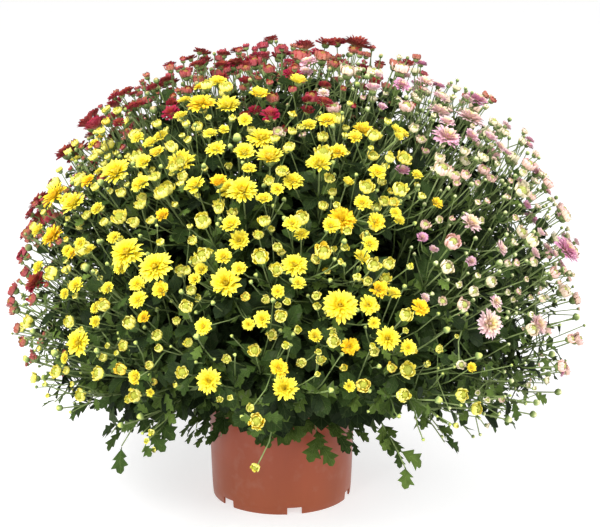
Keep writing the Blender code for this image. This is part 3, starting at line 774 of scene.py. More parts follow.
twig_span = np.linalg.norm(twig_tip - twig_root, axis=1, keepdims=True)
twig_curve = (
    twig_root,
    twig_root + 0.35 * twig_span * unit(twig_lead + 0.5 * unit(twig_tip - twig_root)),
    twig_tip - 0.40 * twig_span * side_axis,
    twig_tip,
)
twig_paths = bezier(twig_curve, np.linspace(0, 1, 4))
twig_radii = np.linspace(1, 0, 4) * 0.0003 + draw.uniform(0.00065, 0.00085, (side_count, 1))
side_plant = head_plant[parents]
side_tone = draw.random(side_count)
side_spin = draw.random(side_count) * math.tau

branch_bark = green_bark(
    "flower_stalk",
    [(0.0, (0.050, 0.080, 0.018)), (0.5, (0.165, 0.225, 0.072)), (1.0, (0.300, 0.370, 0.150))],
    0.6,
)
for number, plant in enumerate(PLANTS):
    mine = head_plant == number
    beside = side_plant == number
    branches = tubes(branch_paths[mine], branch_radii[mine], 5, head_tone[mine])
    twigs = tubes(twig_paths[beside], twig_radii[beside], 3, side_tone[beside])
    add_skin(f"{plant}_branches", join_skins([branches, twigs]), branch_bark, plant)

# Leaves. Soft lobed leaves with a short stalk stand alternately up every main stem and branch, large
# low down and small under the blooms; they are deep green above and greyer beneath.
LEAF_THICKNESS = 0.0006
LEAVES_PER_BRANCH = 8
LEAVES_PER_STEM = 20
# Each lobe's place along the leaf, and its half width and forward sweep as shares of the length
LEAF_STATIONS = np.array([0.18, 0.42, 0.52, 0.68, 0.79, 0.90])
LEAF_OUTLINE = np.array([0.028, 0.245, 0.125, 0.300, 0.135, 0.120])
LEAF_SWEEP = np.array([0.0, 0.25, 0.0, 0.30, 0.0, 0.10])
# Leaves in the shade inside the plant, where only their outline shows, with low tones as painted shade
INNER_PER_BRANCH = 14
INNER_PER_STEM = 40
INNER_STATIONS = np.array([0.48, 0.80])
INNER_OUTLINE = np.array([0.26, 0.22])


def placed(local, origin, *directions):
    """Points of many bodies, so far along each body's three directions from its origin."""
    steps = (local[..., n, None] * direction[:, None] for n, direction in enumerate(directions))
    return origin[:, None] + sum(steps)


def blades(base, forward, up, length, bend, stations, half_width, cup, sweep, thick, tone, twist=0.0):
    """Thin closed blades, one for each row of base.

    A blade's midrib is an arc of its length that turns evenly from the first to the second angle of
    bend, measured from forward towards up. At each station stand four points: the two edges, half
    the width out, raised by cup times and carried along by sweep times that half width, and between
    them the upper and the lower skin of the midrib, thick apart. One more point is the foot, and one
    the tip. Their own coordinates are the share of the length, the share of the width and the tone.
    """
    count, rows = len(base), len(stations)
    first, second = (np.broadcast_to(angle, count)[:, None] for angle in bend)
    turn = second - first + 1e-4
    share = np.append(stations, 1.0)
    slope = first + turn * share
    length = np.broadcast_to(length, count)[:, None]
    x = length * (np.sin(slope) - np.sin(first)) / turn
    z = length * (np.cos(first) - np.cos(slope)) / turn
    half = np.broadcast_to(half_width, (count, rows))
    spine = np.stack([x, 0 * x, z], -1)
    tangent = np.stack([np.cos(slope), 0 * x, np.sin(slope)], -1)[:, :rows]
    normal = np.stack([-np.sin(slope), 0 * x, np.cos(slope)], -1)[:, :rows]
    lean = np.broadcast_to(twist, count)[:, None] * share[:rows]
    edge = spine[:, :rows] + half[..., None] * (np.broadcast_to(sweep, rows)[:, None] * tangent)
    rise = np.broadcast_to(cup, (count, rows)) * half
    sideways = np.array([0.0, 1.0, 0.0])
    skin = 0.5 * thick * normal
    ring = np.stack(
        [
            edge + (rise + lean * half)[..., None] * normal + half[..., None] * sideways,
            spine[:, :rows] + skin,
            edge + (rise - lean * half)[..., None] * normal - half[..., None] * sideways,
            spine[:, :rows] - skin,
        ],
        2,
    )
    local = np.concatenate([ring.reshape(count, -1, 3), 0 * spine[:, :1], spine[:, rows:]], 1)
    points = placed(local, base, forward, np.cross(up, forward), up)
    return ringed_skin(points, stations, (1.0, 0.5, 0.0, 0.5), tone, 0.5, two_faced=True)


def leaf_seats(curve, shares, draw):
    """Places up a set of curves where leaves stand, each a golden angle round from the one below."""
    count, steps = shares.shape
    seat = bezier(curve, shares).reshape(-1, 3)
    lead = bezier_heading(curve, shares).reshape(-1, 3)
    across, other = square_to(lead)
    turn = np.arange(steps) * GOLDEN_ANGLE + draw.uniform(0, math.tau, (count, 1))
    turn = (turn + draw.normal(0, 0.25, (count, steps))).reshape(-1, 1)
    return seat, lead, np.cos(turn) * across + np.sin(turn) * other


def leaf_skin(seat, lead, outward, length, stations, outline, sweep, tone, draw):
    """Leaves that leave a stem at an angle, upper side towards the stem's tip, and arch over."""
    count = len(seat)
    length = length.ravel()
    spread = draw.uniform(0.75, 1.25, (count, 1))
    forward = unit(np.cos(spread) * lead + np.sin(spread) * outward - 0.10 * UP)
    up = squared(lead + 0.35 * UP + draw.normal(0, 0.22, (count, 3)), forward)
    bend = (draw.uniform(0.0, 0.3, count), draw.uniform(-0.9, -0.15, count))
    half = length[:, None] * outline * draw.uniform(0.85, 1.15, (count, 1))
    cup = draw.uniform(-0.05, 0.35, (count, 1)) + draw.normal(0, 0.12, (count, len(stations)))
    return blades(
        seat, forward, up, length, bend, stations, half, cup, sweep,
        LEAF_THICKNESS, draw.uniform(*tone, count), draw.normal(0, 0.3, count),
    )


def faces_back(tree):
    """One on the back of a leaf or petal, and zero on its front."""
    return add_node(tree, "ShaderNodeAttribute", attribute_name="reverse").outputs["Fac"]


tree, shader, leaf_green = new_material("leaf", Roughness=0.68, Specular_IOR_Level=0.13)
along, across, tone = own_place(tree)
off_rib = add_math(tree, "ABSOLUTE", add_math(tree, "SUBTRACT", across, 0.5))
slanted = add_math(tree, "MULTIPLY_ADD", off_rib, -0.45, along)
side_veins = add_span(tree, add_wave(tree, slanted, 5.5, "COSINE"), 0.86, 1.0)
veins = add_math(tree, "MAXIMUM", add_span(tree, off_rib, 0.0, 0.05, 1.0, 0.0), side_veins)
blotch = object_noise(tree, 85.0, 5.0)
upper = add_ramp(
    tree, tone, [(0.0, (0.005, 0.012, 0.003)), (0.5, (0.032, 0.064, 0.010)), (1.0, (0.105, 0.165, 0.028))]
)
upper = add_tint(tree, upper, add_greys(tree, blotch, 0.3, 0.65, 1.2))
vein_colour = add_mix(tree, tone, (0.030, 0.050, 0.014), (0.19, 0.26, 0.075))
upper = add_mix(tree, add_math(tree, "MULTIPLY", veins, 0.40), upper, vein_colour)
lower = add_ramp(
    tree, tone, [(0.0, (0.010, 0.018, 0.006)), (0.5, (0.055, 0.082, 0.028)), (1.0, (0.130, 0.170, 0.065))]
)
relief = add_math(tree, "MULTIPLY_ADD", veins, -0.7, blotch)
dress(tree, shader, add_mix(tree, faces_back(tree), upper, lower), relief, 0.0007)

draw = np.random.default_rng(7)
lobed = LEAF_STATIONS, LEAF_OUTLINE, LEAF_SWEEP
plain = INNER_STATIONS, INNER_OUTLINE, 0.0
for number, plant in enumerate(PLANTS):
    mine = head_plant == number
    branches = mine.sum()
    curve = [end[mine] for end in branch_curve]
    shares = np.linspace(0.05, 0.90, LEAVES_PER_BRANCH)
    shares = shares + draw.uniform(-0.04, 0.04, (branches, LEAVES_PER_BRANCH))
    low = np.minimum(lowness[mine, None], 1)
    length = (0.046 - 0.028 * shares**1.4) * draw.uniform(0.8, 1.15, shares.shape) * (1 + 0.12 * low)
    tone = (0.10 + 0.25 * (low + 0 * shares).ravel(), 1.0)
    skins = [leaf_skin(*leaf_seats(curve, shares, draw), length, *lobed, tone, draw)]
    crest = np.clip(1.2 - head_polar[mine, None] / math.radians(50), 0, 1)
    edge = low * head_heading[mine, :1] ** 2
    shares = 0.88 * draw.random((branches, INNER_PER_BRANCH)) ** (0.8 - 0.45 * crest)
    seats = leaf_seats(curve, shares, draw)
    length = (0.040 - 0.014 * shares) * draw.uniform(0.85, 1.20, shares.shape)
    length = length * (1 + 0.15 * crest - 0.4 * edge)
    # Painted shade: the inner leaves take only the darker tones.
    skins.append(leaf_skin(*seats, length, *plain, (0.0, 0.4), draw))
    mine = stem_plant == number
    stems = mine.sum()
    curve = [end[mine] for end in stem_curve]
    shares = np.linspace(0.30, 0.99, LEAVES_PER_STEM)
    shares = shares + draw.uniform(-0.03, 0.01, (stems, LEAVES_PER_STEM))
    seats = leaf_seats(curve, shares, draw)
    # Painted shade: the stem leaves, deeper in the plant, take darker tones.
    skins.append(leaf_skin(*seats, draw.uniform(0.046, 0.062, shares.size), *lobed, (0.0, 0.6), draw))
    shares = np.linspace(0.32, 1.0, INNER_PER_STEM)
    shares = shares - draw.uniform(0.0, 0.02, (stems, INNER_PER_STEM))
    seats = leaf_seats(curve, shares, draw)
    # Painted shade: the inner stem leaves take only the darkest tones.
    skins.append(leaf_skin(*seats, draw.uniform(0.056, 0.072, shares.size), *plain, (0.0, 0.15), draw))
    add_skin(f"{plant}_leaves", join_skins(skins), leaf_green, plant)

# Leaves over the rim. Leafy side shoots low on the outer stems droop: short ones over the pot's rim,
# lowest beside the middle of its front, and longer ones out under the edge of the dome.
RIM_SHOOTS = 22
EDGE_SHOOTS = 30
HANGING_SEED = 3
CLUSTER = 8
SHOOT_STATIONS = 9
SHOOT_RADII = (0.0013, 0.0008)
# Out from the axis and up from the floor, where rim shoots and edge shoots leave their stems
ROOTS = ((0.080, 0.150), (0.120, 0.180))
# The edge shoots' share of the round, from this azimuth on, which leaves the front free
EDGE_START = math.radians(24)
EDGE_SPAN = math.radians(312)

draw = np.random.default_rng(HANGING_SEED)
shoots = RIM_SHOOTS + EDGE_SHOOTS
over_rim = np.arange(shoots) < RIM_SHOOTS
rim_turn = (np.arange(RIM_SHOOTS) + 0.5) * math.tau / RIM_SHOOTS - math.pi
edge_turn = EDGE_START + (np.arange(EDGE_SHOOTS) + 0.5) / EDGE_SHOOTS * EDGE_SPAN
hang_turn = np.concatenate([rim_turn, edge_turn]) + draw.normal(0, math.radians(3), shoots)
hang_out = level(hang_turn)
rim_low = 0.098 + 0.022 * np.exp(-((hang_turn / math.radians(30)) ** 2)) + draw.uniform(-0.006, 0.008, shoots)
hang_low = np.where(over_rim, rim_low, draw.uniform(0.105, 0.150, shoots))[:, None]
rim_reach = RIM_RADIUS + draw.uniform(0.008, 0.020, shoots)
hang_reach = np.where(over_rim, rim_reach, draw.uniform(0.22, 0.31, shoots))[:, None]
root_out, root_up = (np.where(over_rim, *pair)[:, None] for pair in zip(*ROOTS))
hang_root = root_out * hang_out + UP * root_up
hang_tip = hang_reach * hang_out + UP * hang_low
hang_span = np.linalg.norm(hang_tip - hang_root, axis=1, keepdims=True)
hang_curve = (
    hang_root,
    hang_root + 0.35 * hang_span * unit(hang_out + 0.4 * UP),
    hang_tip - 0.40 * hang_span * unit(np.where(over_rim, 0.15, 0.9)[:, None] * hang_out - UP),
    hang_tip,
)
hang_plant = stem_plant[np.argmax(hang_out @ stem_heading.T, 1)]
hang_shares = np.linspace(0.30, 1.0, CLUSTER) - draw.uniform(0, 0.08, (shoots, CLUSTER))
seat = bezier(hang_curve, hang_shares).reshape(-1, 3)
hanging = len(seat)
sway = draw.uniform(-1.0, 1.0, (hanging, 1))
outwards = np.repeat(hang_out, CLUSTER, 0)
fall = draw.uniform(0.1, 0.8, (hanging, 1))
forward = unit(0.5 * outwards + sway * np.cross(UP, outwards) - UP * fall)
up = squared(unit(0.7 * outwards + 0.6 * UP), forward)
hang_length = draw.uniform(0.022, 0.040, hanging)
hang_bend = (np.full(hanging, 0.25), draw.uniform(-0.7, -0.1, hanging))
hang_half = hang_length[:, None] * LEAF_OUTLINE * 1.15
hang_tone = draw.uniform(0.25, 1.0, hanging)
twig_tone = draw.random(shoots)
for number, plant in enumerate(PLANTS):
    mine = hang_plant == number
    leafy = np.repeat(mine, CLUSTER)
    paths = bezier([end[mine] for end in hang_curve], np.linspace(0, 1, SHOOT_STATIONS))
    radii = np.tile(np.linspace(*SHOOT_RADII, SHOOT_STATIONS), (mine.sum(), 1))
    add_skin(f"{plant}_hanging_twigs", tubes(paths, radii, 5, twig_tone[mine]), branch_bark, plant)
    leaf = blades(
        seat[leafy], forward[leafy], up[leafy], hang_length[leafy], [angle[leafy] for angle in hang_bend],
        LEAF_STATIONS, hang_half[leafy], 0.15, LEAF_SWEEP, LEAF_THICKNESS, hang_tone[leafy],
    )
    add_skin(f"{plant}_hanging_leaves", leaf, leaf_green, plant)

# Bracts. Small narrow leaves stand along every twig, a little above the place where it leaves its
# branch. They are of the same green tissue as the leaves.
BRACTS = 2
BRACT_STATIONS = np.array([0.45])
BRACT_OUTLINE = np.array([0.18])
BRACT_LENGTHS = (0.009, 0.020)
BRACT_THICKNESS = 0.0005

draw = np.random.default_rng(9)
for number, plant in enumerate(PLANTS):
    mine = side_plant == number
    shares = draw.uniform(0.05, 0.70, (mine.sum(), BRACTS))
    seat, lead, outward = leaf_seats([end[mine] for end in twig_curve], shares, draw)
    length = draw.uniform(*BRACT_LENGTHS, len(seat))
    forward = unit(0.9 * lead + 0.7 * outward)
    skin = blades(
        seat, forward, squared(lead, forward), length, (0.2, -0.4), BRACT_STATIONS,
        length[:, None] * BRACT_OUTLINE, 0.2, 0.0, BRACT_THICKNESS, draw.random(len(seat)),
    )
    add_skin(f"{plant}_bracts", skin, leaf_green, plant)

# Green cups under the heads. Overlapping grey-green scales form a shallow cup that holds the petals
# of every head; a tight bud is this cup closed over a pale tip.
CALYX_PROFILE = np.array([(0.16, -1.0), (0.55, -0.86), (0.90, -0.45), (0.96, 0.0), (0.55, 0.06)])
BUD_PROFILE = np.array([(0.30, -0.98), (0.88, -0.55), (1.0, 0.05), (0.66, 0.70)])
# Size of the cup under each kind of head, and how far down it stands, as shares of the head's radius
CALYX_SIZES = (0.42, 0.62, 0.0, 0.72)
CALYX_UNDER = (0.05, 0.36, 0.0, 0.25)
SCALE_FLUTE = 0.10
BUD_TIPS = {"yellow": (0.52, 0.57, 0.15), "red": (0.48, 0.34, 0.18), "pink": (0.64, 0.64, 0.36)}


def head_frame(axis, spin):
    """Two unit vectors square to each axis and to each other, turned about it by a spin."""
    across, along = square_to(axis, 0.9)
    turn = spin[:, None]
    return np.cos(turn) * across + np.sin(turn) * along, np.cos(turn) * along - np.sin(turn) * across


def pods(centre, axis, spin, radius, profile, sides, flute, tone):
    """Closed turned bodies round an axis: a ring for each radius and height of the profile.

    Every second point of a ring lies inwards by the share flute, so that scales show. A point
    closes each end, on the axis and a little past the end ring.
    """
    turn = around(sides)
    seam = np.arange(sides) % 2
    out = profile[:, :1] * (1 - flute * seam)
    local = np.stack([out * np.cos(turn), out * np.sin(turn), profile[:, 1:] + 0 * out], -1).reshape(-1, 3)
    ends = [[0, 0, profile[0, 1] - 0.02], [0, 0, profile[-1, 1] + 0.35 * profile[-1, 0]]]
    local = np.concatenate([local, ends]) * np.reshape(radius, (-1, 1, 1))
    points = placed(local, centre, *head_frame(axis, spin), axis)
    return ringed_skin(points, np.linspace(0.05, 0.9, len(profile)), seam, tone)


def scale_material(name, tip):
    """Felted green scales, with painted shade in the recessed seams between them and a little painted light
    on their ridges, that pale towards a tip colour.
    """
    tree, shader, material = new_material(name, Roughness=0.7, Specular_IOR_Level=0.2)
    along, seam, tone = own_place(tree)
    colour = add_ramp(
        tree, along,
        [(0.0, (0.08, 0.12, 0.035)), (0.45, (0.15, 0.205, 0.070)), (0.72, (0.25, 0.32, 0.115)), (0.92, tip)],
    )
    # Painted shade in the seams, where every second column lies recessed, and slightly lighter ridges.
    colour = add_tint(tree, colour, add_mix(tree, seam, (1.1, 1.1, 1.05), (0.62, 0.68, 0.55)))
    colour = add_tint(tree, colour, add_greys(tree, object_noise(tree, 500.0, 3.0), 0.3, 0.8, 1.15))
    dress(tree, shader, colour, object_noise(tree, 1200.0, 2.0), 0.0002)
    return material


bloom_centre = np.concatenate([head_centre, side_centre])
bloom_axis = np.concatenate([head_axis, side_axis])
bloom_spin = np.concatenate([head_spin, side_spin])
bloom_radius = np.concatenate([head_radius, side_radius])
bloom_kind = np.concatenate([head_kind, side_kind])
bloom_plant = np.concatenate([head_plant, side_plant])
bloom_tone = np.concatenate([head_tone, side_tone])
full_size = np.arange(len(bloom_kind)) < HEADS


def heads_of(mine, size=1.0, under=0.0):
    """Centre, axis, spin and radius of some heads, sized and moved down the axis by shares."""
    radius = bloom_radius[mine]
    centre = bloom_centre[mine] - (under * radius)[:, None] * bloom_axis[mine]
    return centre, bloom_axis[mine], bloom_spin[mine], size * radius


calyx_green = scale_material("calyx_scales", (0.24, 0.30, 0.10))
calyx_size = np.choose(bloom_kind, CALYX_SIZES)
calyx_under = np.choose(bloom_kind, CALYX_UNDER)
for number, plant in enumerate(PLANTS):
    skins = []
    for large, profile, sides in ((True, CALYX_PROFILE, 8), (False, CALYX_PROFILE[1:4], 5)):
        mine = (bloom_plant == number) & (bloom_kind != BUD) & (full_size == large)
        seats = heads_of(mine, calyx_size[mine], calyx_under[mine])
        skins.append(pods(*seats, profile, sides, SCALE_FLUTE, bloom_tone[mine]))
    add_skin(f"{plant}_calyxes", join_skins(skins), calyx_green, plant)
    mine = (bloom_plant == number) & (bloom_kind == BUD)
    skin = pods(*heads_of(mine), BUD_PROFILE, 6, SCALE_FLUTE, bloom_tone[mine])
    add_skin(f"{plant}_buds", skin, scale_material(f"{plant}_bud_scales", BUD_TIPS[plant]), plant)

# Open blooms. Five rows of narrow pointed petals stand round a small golden middle, the outer row
# flat or a little bent back and each row inside it shorter and steeper.
PETAL_STATIONS = np.array([0.34, 0.82])
PETAL_OUTLINE = np.array([0.78, 0.96])
PETAL_THICKNESS = 0.0004
# Rows from the outside in: petals, base radius, base height, first and last slope in degrees, length
# and half width, all but the first and the slopes as shares of the bloom's radius
BLOOM_ROWS = (
    (23, 0.12, -0.10, 14, -10, 0.92, 0.104),
    (20, 0.12, -0.04, 27, 8, 0.84, 0.104),
    (17, 0.11, 0.00, 42, 26, 0.70, 0.098),
    (13, 0.09, 0.03, 60, 46, 0.52, 0.086),
    (8, 0.06, 0.05, 76, 74, 0.33, 0.070),
)
# The smaller blooms of the side twigs have fewer petals and rows
SMALL_STATIONS = np.array([0.84])
SMALL_OUTLINE = np.array([1.0])
SMALL_ROWS = (
    (20, 0.12, -0.08, 20, 0, 0.94, 0.150),
    (16, 0.12, -0.02, 34, 16, 0.84, 0.150),
    (12, 0.10, 0.02, 50, 34, 0.66, 0.140),
    (8, 0.07, 0.05, 70, 60, 0.44, 0.120),
)
# A row's tone is this much less than that of the row outside it, which tells the rows apart
ROW_TONE = 2
MOST_OPEN = math.radians(34)


def petal_rows(centre, axis, spin, radius, rows, stations, outline, lift, tone, draw):
    """Petals of many heads, row by row: evenly spaced round the axis, every row turned on by chance.

    rows hold the number of petals, and as shares of the head's radius the base radius, the base
    height, the length and the half width, with the slopes in degrees. lift is added to the slopes.
    """
    across, along = head_frame(axis, spin)
    heads = len(centre)
    skins = []
    for depth, (petals, out, height, first, second, length, width) in enumerate(rows):
        size = heads * petals
        turn = around(petals) + draw.uniform(0, math.tau, (heads, 1))
        turn = (turn + draw.normal(0, 0.22 * math.tau / petals, (heads, petals)))[..., None]
        forward = (np.cos(turn) * across[:, None] + np.sin(turn) * along[:, None]).reshape(-1, 3)
        up = np.repeat(axis, petals, 0)
        scale = np.repeat(radius, petals)
        base = np.repeat(centre, petals, 0) + (scale * out)[:, None] * forward
        base = base + (scale * height)[:, None] * up
        tilt = np.repeat(lift, petals) + draw.normal(0, math.radians(5), size)
        curl = math.radians(second) + tilt + draw.normal(0, math.radians(9), size)
        bend = (math.radians(first) + tilt, curl)
        reach_out = scale * length * draw.uniform(0.84, 1.08, size)
        half = (scale * width * draw.uniform(0.85, 1.15, size))[:, None] * outline
        own_tone = np.repeat(tone, petals) + draw.normal(0, 0.03, size) - depth * ROW_TONE
        cup = draw.uniform(0.25, 0.6, (size, 1))
        twist = draw.normal(0, 0.35, size)
        skins.append(
            blades(
                base, forward, up, reach_out, bend, stations, half, cup, 0.0, PETAL_THICKNESS, own_tone, twist
            )
        )
    return join_skins(skins)


def petal_material(name, front, back, gold, heart, deep_tones=(0.80, 0.95)):
    """Petals coloured from base to tip, apart on the front and the reverse, and more golden inwards.

    The tone runs from 0 to 1 with the head and drops by ROW_TONE with every row inwards, so scaling
    it gives how far in the row is. Heads whose tone is past deep_tones are multiplied by the colour
    gold. Fine grooves run along the petal.
    """
    tree, shader, material = new_material(name, Roughness=0.55, Specular_IOR_Level=0.25)
    along, across, tone = own_place(tree)
    inwards = add_span(tree, add_math(tree, "MULTIPLY", tone, -0.25 / ROW_TONE), 0.1, 0.95)
    head_tone = add_math(tree, "FLOORED_MODULO", tone, float(ROW_TONE))
    deep = add_span(tree, head_tone, *deep_tones)
    face = add_mix(tree, inwards, add_tint(tree, add_ramp(tree, along, front), gold, deep), heart)
    behind = add_tint(tree, add_ramp(tree, along, back), gold, deep)
    colour = add_mix(tree, faces_back(tree), face, behind)
    colour = add_tint(tree, colour, add_greys(tree, object_noise(tree, 380.0, 3.0), 0.3, 0.90, 1.06))
    dress(tree, shader, colour, add_wave(tree, across, 4), 0.00012)
    return material


PETALS = {
    "yellow": petal_material(
        "yellow_petal",
        [(0.0, (0.92, 0.64, 0.008)), (0.45, (1.0, 0.84, 0.016)), (1.0, (1.0, 0.90, 0.12))],
        [(0.0, (0.66, 0.62, 0.06)), (0.5, (0.96, 0.84, 0.08)), (1.0, (1.0, 0.90, 0.22))],
        (0.98, 0.76, 0.30),
        (0.90, 0.66, 0.010),
    ),
    "red": petal_material(
        "red_petal",
        [(0.0, (0.44, 0.09, 0.015)), (0.25, (0.22, 0.006, 0.014)), (1.0, (0.215, 0.004, 0.022))],
        [(0.0, (0.56, 0.30, 0.16)), (0.5, (0.50, 0.13, 0.09)), (1.0, (0.34, 0.020, 0.040))],
        (1.6, 1.4, 2.4),
        (0.34, 0.07, 0.015),
        (0.70, 0.95),
    ),
    "pink": petal_material(
        "pink_petal",
        [(0.0, (0.85, 0.66, 0.30)), (0.4, (0.86, 0.60, 0.60)), (1.0, (0.90, 0.67, 0.71))],
        [(0.0, (0.76, 0.68, 0.40)), (0.5, (0.84, 0.60, 0.56)), (1.0, (0.86, 0.56, 0.62))],
        (0.80, 0.52, 0.76),
        (0.86, 0.70, 0.22),
        (0.50, 0.90),
    ),
}
draw = np.random.default_rng(15)
openness = MOST_OPEN * draw.random(len(bloom_kind)) ** 2.2
for number, plant in enumerate(PLANTS):
    skins = []
    for large, rows, stations, outline in (
        (True, BLOOM_ROWS, PETAL_STATIONS, PETAL_OUTLINE),
        (False, SMALL_ROWS, SMALL_STATIONS, SMALL_OUTLINE),
    ):
        mine = (bloom_plant == number) & (bloom_kind == OPEN) & (full_size == large)
        heads = heads_of(mine)
        skins.append(petal_rows(*heads, rows, stations, outline, openness[mine], bloom_tone[mine], draw))
    add_skin(f"{plant}_open_petals", join_skins(skins), PETALS[plant], plant)

# Half-open heads. Broader petals stand up from the green cup and curl in at their tips round the
# closed middle, so a head looks like a small barrel with a pale ring and a greener heart.
CUP_STATIONS = np.array([0.40, 0.82])
CUP_OUTLINE = np.array([0.92, 0.90])
CUP_ROWS = (
    (13, 0.32, -0.45, 5, 142, 1.44, 0.27),
    (9, 0.36, -0.34, 20, 148, 1.12, 0.27),
)
OPENING_STATIONS = np.array([0.66])
OPENING_OUTLINE = np.array([1.0])
OPENING_ROWS = ((8, 0.36, -0.50, 18, 138, 1.55, 0.42),)
WIDEST_SPREAD = math.radians(-20)
CUP_PETALS = {
    "yellow": petal_material(
        "yellow_cup_petal",
        [(0.0, (0.66, 0.56, 0.03)), (0.6, (0.96, 0.84, 0.07)), (1.0, (1.0, 0.93, 0.24))],
        [(0.0, (0.38, 0.42, 0.08)), (0.40, (0.84, 0.78, 0.10)), (1.0, (1.0, 0.93, 0.28))],
        (1.0, 0.84, 0.5),
        (0.80, 0.72, 0.08),
        (0.90, 1.0),
    ),
    "red": petal_material(
        "red_cup_petal",
        [(0.0, (0.40, 0.12, 0.02)), (0.5, (0.40, 0.05, 0.03)), (1.0, (0.36, 0.025, 0.03))],
        [(0.0, (0.36, 0.28, 0.14)), (0.40, (0.44, 0.20, 0.12)), (1.0, (0.42, 0.085, 0.070))],
        (0.85, 0.35, 0.75),
        (0.26, 0.12, 0.03),
        (0.30, 0.95),
    ),
    "pink": petal_material(
        "pink_cup_petal",
        [(0.0, (0.52, 0.50, 0.15)), (0.5, (0.80, 0.70, 0.40)), (1.0, (0.90, 0.78, 0.62))],
        [(0.0, (0.48, 0.50, 0.20)), (0.40, (0.80, 0.74, 0.44)), (1.0, (0.90, 0.80, 0.62))],
        (0.98, 0.70, 0.88),
        (0.50, 0.52, 0.12),
        (0.40, 0.80),
    ),
}

draw = np.random.default_rng(16)
spreading = WIDEST_SPREAD * draw.random(len(bloom_kind)) ** 3
for number, plant in enumerate(PLANTS):
    skins = []
    for kind, rows, stations, outline in (
        (CUP, CUP_ROWS, CUP_STATIONS, CUP_OUTLINE),
        (OPENING, OPENING_ROWS, OPENING_STATIONS, OPENING_OUTLINE),
    ):
        mine = (bloom_plant == number) & (bloom_kind == kind)
        lift = spreading[mine] * (kind == CUP)
        skins.append(petal_rows(*heads_of(mine), rows, stations, outline, lift, bloom_tone[mine], draw))
    add_skin(f"{plant}_half_open_petals", join_skins(skins), CUP_PETALS[plant], plant)

# Middles. A low golden button of florets fills an open bloom, and a greenish dome of unopened
# petals closes the middle of a half-open one.
DISC_PROFILE = np.array([(1.0, 0.0), (0.85, 0.35), (0.45, 0.60)])
HEART_PROFILE = np.array([(1.0, 0.0), (0.45, 0.60)])
DISC_SIZE = 0.15
HEART_SIZE = 0.66
HEART_UNDER = -0.10
# Colours of the florets in an open bloom, and of the dome in a half-open one
MIDDLES = {
    "yellow": ((0.66, 0.45, 0.012), (0.46, 0.48, 0.030)),
    "red": ((0.70, 0.34, 0.02), (0.42, 0.20, 0.03)),
    "pink": ((0.80, 0.56, 0.08), (0.50, 0.54, 0.12)),
}


def heart_material(name, colour):
    """Tiny packed florets: a cell pattern that pits the surface, with painted shade that darkens the gaps
    between the florets.
    """
    tree, shader, material = new_material(name, Roughness=0.65)
    cells = add_node(tree, "ShaderNodeTexVoronoi", [("Vector", object_place(tree)), ("Scale", 1100.0)])
    distance = cells.outputs["Distance"]
    # Painted shade: the gaps between the florets are darkened.
    floret_gap_shade = tuple(0.45 * channel for channel in colour)
    dress(tree, shader, add_ramp(tree, distance, [(0.2, colour), (0.8, floret_gap_shade)]), distance, -0.0005)
    return material


for number, plant in enumerate(PLANTS):
    golden, greenish = MIDDLES[plant]
    mine = (bloom_plant == number) & (bloom_kind == OPEN)
    skin = pods(*heads_of(mine, DISC_SIZE), DISC_PROFILE, 8, 0.05, bloom_tone[mine])
    add_skin(f"{plant}_discs", skin, heart_material(f"{plant}_disc", golden), plant)
    mine = (bloom_plant == number) & ((bloom_kind == CUP) | (bloom_kind == OPENING))
    skin = pods(*heads_of(mine, HEART_SIZE, HEART_UNDER), HEART_PROFILE, 7, 0.08, bloom_tone[mine])
    add_skin(f"{plant}_hearts", skin, heart_material(f"{plant}_heart", greenish), plant)

# Floor, light and camera. A pale floor under a white sky, a large soft lamp from the upper left and
# one from the right, two tall narrow lamps that glint on the pot, and a long lens a little above the
# plant, as in the photograph.
FLOOR_HALF = 20.0
FLOOR_GREY = 0.50
FLOOR_GLOW = 0.66
SKY_STRENGTH = 0.62
# Azimuth, elevation, distance, width and height, and power
LAMPS = {
    "key": (-30, 48, 2.4, (1.3, 1.3), 76),
    "side": (62, 30, 2.4, (1.0, 1.0), 28),
    "left_strip": (-28, 4, 2.0, (0.12, 1.4), 12),
    "right_strip": (66, 4, 2.0, (0.12, 1.4), 7),
}
CAMERA_TARGET = np.array([0.022, 0.0, 0.270])
CAMERA_DISTANCE = 2.2
CAMERA_ELEVATION = math.radians(15)
CAMERA_LENS = 99.7
IMAGE_WIDTH = 600
TARGET_LEFT = 2
TARGET_DOWN = 34.2

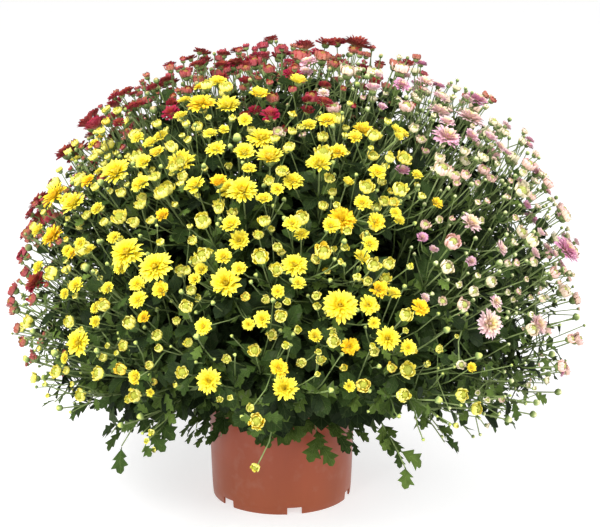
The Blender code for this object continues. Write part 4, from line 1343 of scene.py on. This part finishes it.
floor_mesh = bpy.data.meshes.new("floor")
corners = [(x * FLOOR_HALF, y * FLOOR_HALF, 0.0) for x, y in ((-1, -1), (1, -1), (1, 1), (-1, 1))]
floor_mesh.from_pydata(corners, [], [(0, 1, 2, 3)])
floor = bpy.data.objects.new("floor", floor_mesh)
bpy.context.scene.collection.objects.link(floor)
tree, shader, paper = new_material(
    "lit_paper",
    Base_Color=(FLOOR_GREY, FLOOR_GREY, FLOOR_GREY, 1.0),
    Roughness=0.9,
    Emission_Color=(1.0, 1.0, 1.0, 1.0),
    Emission_Strength=FLOOR_GLOW,
)
floor_mesh.materials.append(paper)

world = bpy.data.worlds.new("white_sky")
world.use_nodes = True
sky = world.node_tree.nodes["Background"]
sky.inputs["Color"].default_value = (1.0, 1.0, 1.0, 1.0)
sky.inputs["Strength"].default_value = SKY_STRENGTH
bpy.context.scene.world = world
bpy.context.scene.view_settings.view_transform = "Standard"

for name, (azimuth, elevation, distance, size, power) in LAMPS.items():
    lamp = bpy.data.lights.new(name, "AREA")
    lamp.shape = "RECTANGLE"
    lamp.size, lamp.size_y = size
    lamp.energy = power
    holder = bpy.data.objects.new(name, lamp)
    bpy.context.scene.collection.objects.link(holder)
    towards = heading(math.radians(90 - elevation), math.radians(azimuth))
    holder.location = AXIS + CAMERA_TARGET + distance * towards
    holder.rotation_mode = "QUATERNION"
    holder.rotation_quaternion = Vector(-towards).to_track_quat("-Z", "Y")

lens = bpy.data.cameras.new("camera")
lens.lens = CAMERA_LENS
lens.shift_x = TARGET_LEFT / IMAGE_WIDTH
lens.shift_y = TARGET_DOWN / IMAGE_WIDTH
camera = bpy.data.objects.new("camera", lens)
bpy.context.scene.collection.objects.link(camera)
backwards = np.array([0.0, -math.cos(CAMERA_ELEVATION), math.sin(CAMERA_ELEVATION)])
camera.location = AXIS + CAMERA_TARGET + CAMERA_DISTANCE * backwards
camera.rotation_euler = (math.pi / 2 - CAMERA_ELEVATION, 0.0, 0.0)
bpy.context.scene.camera = camera
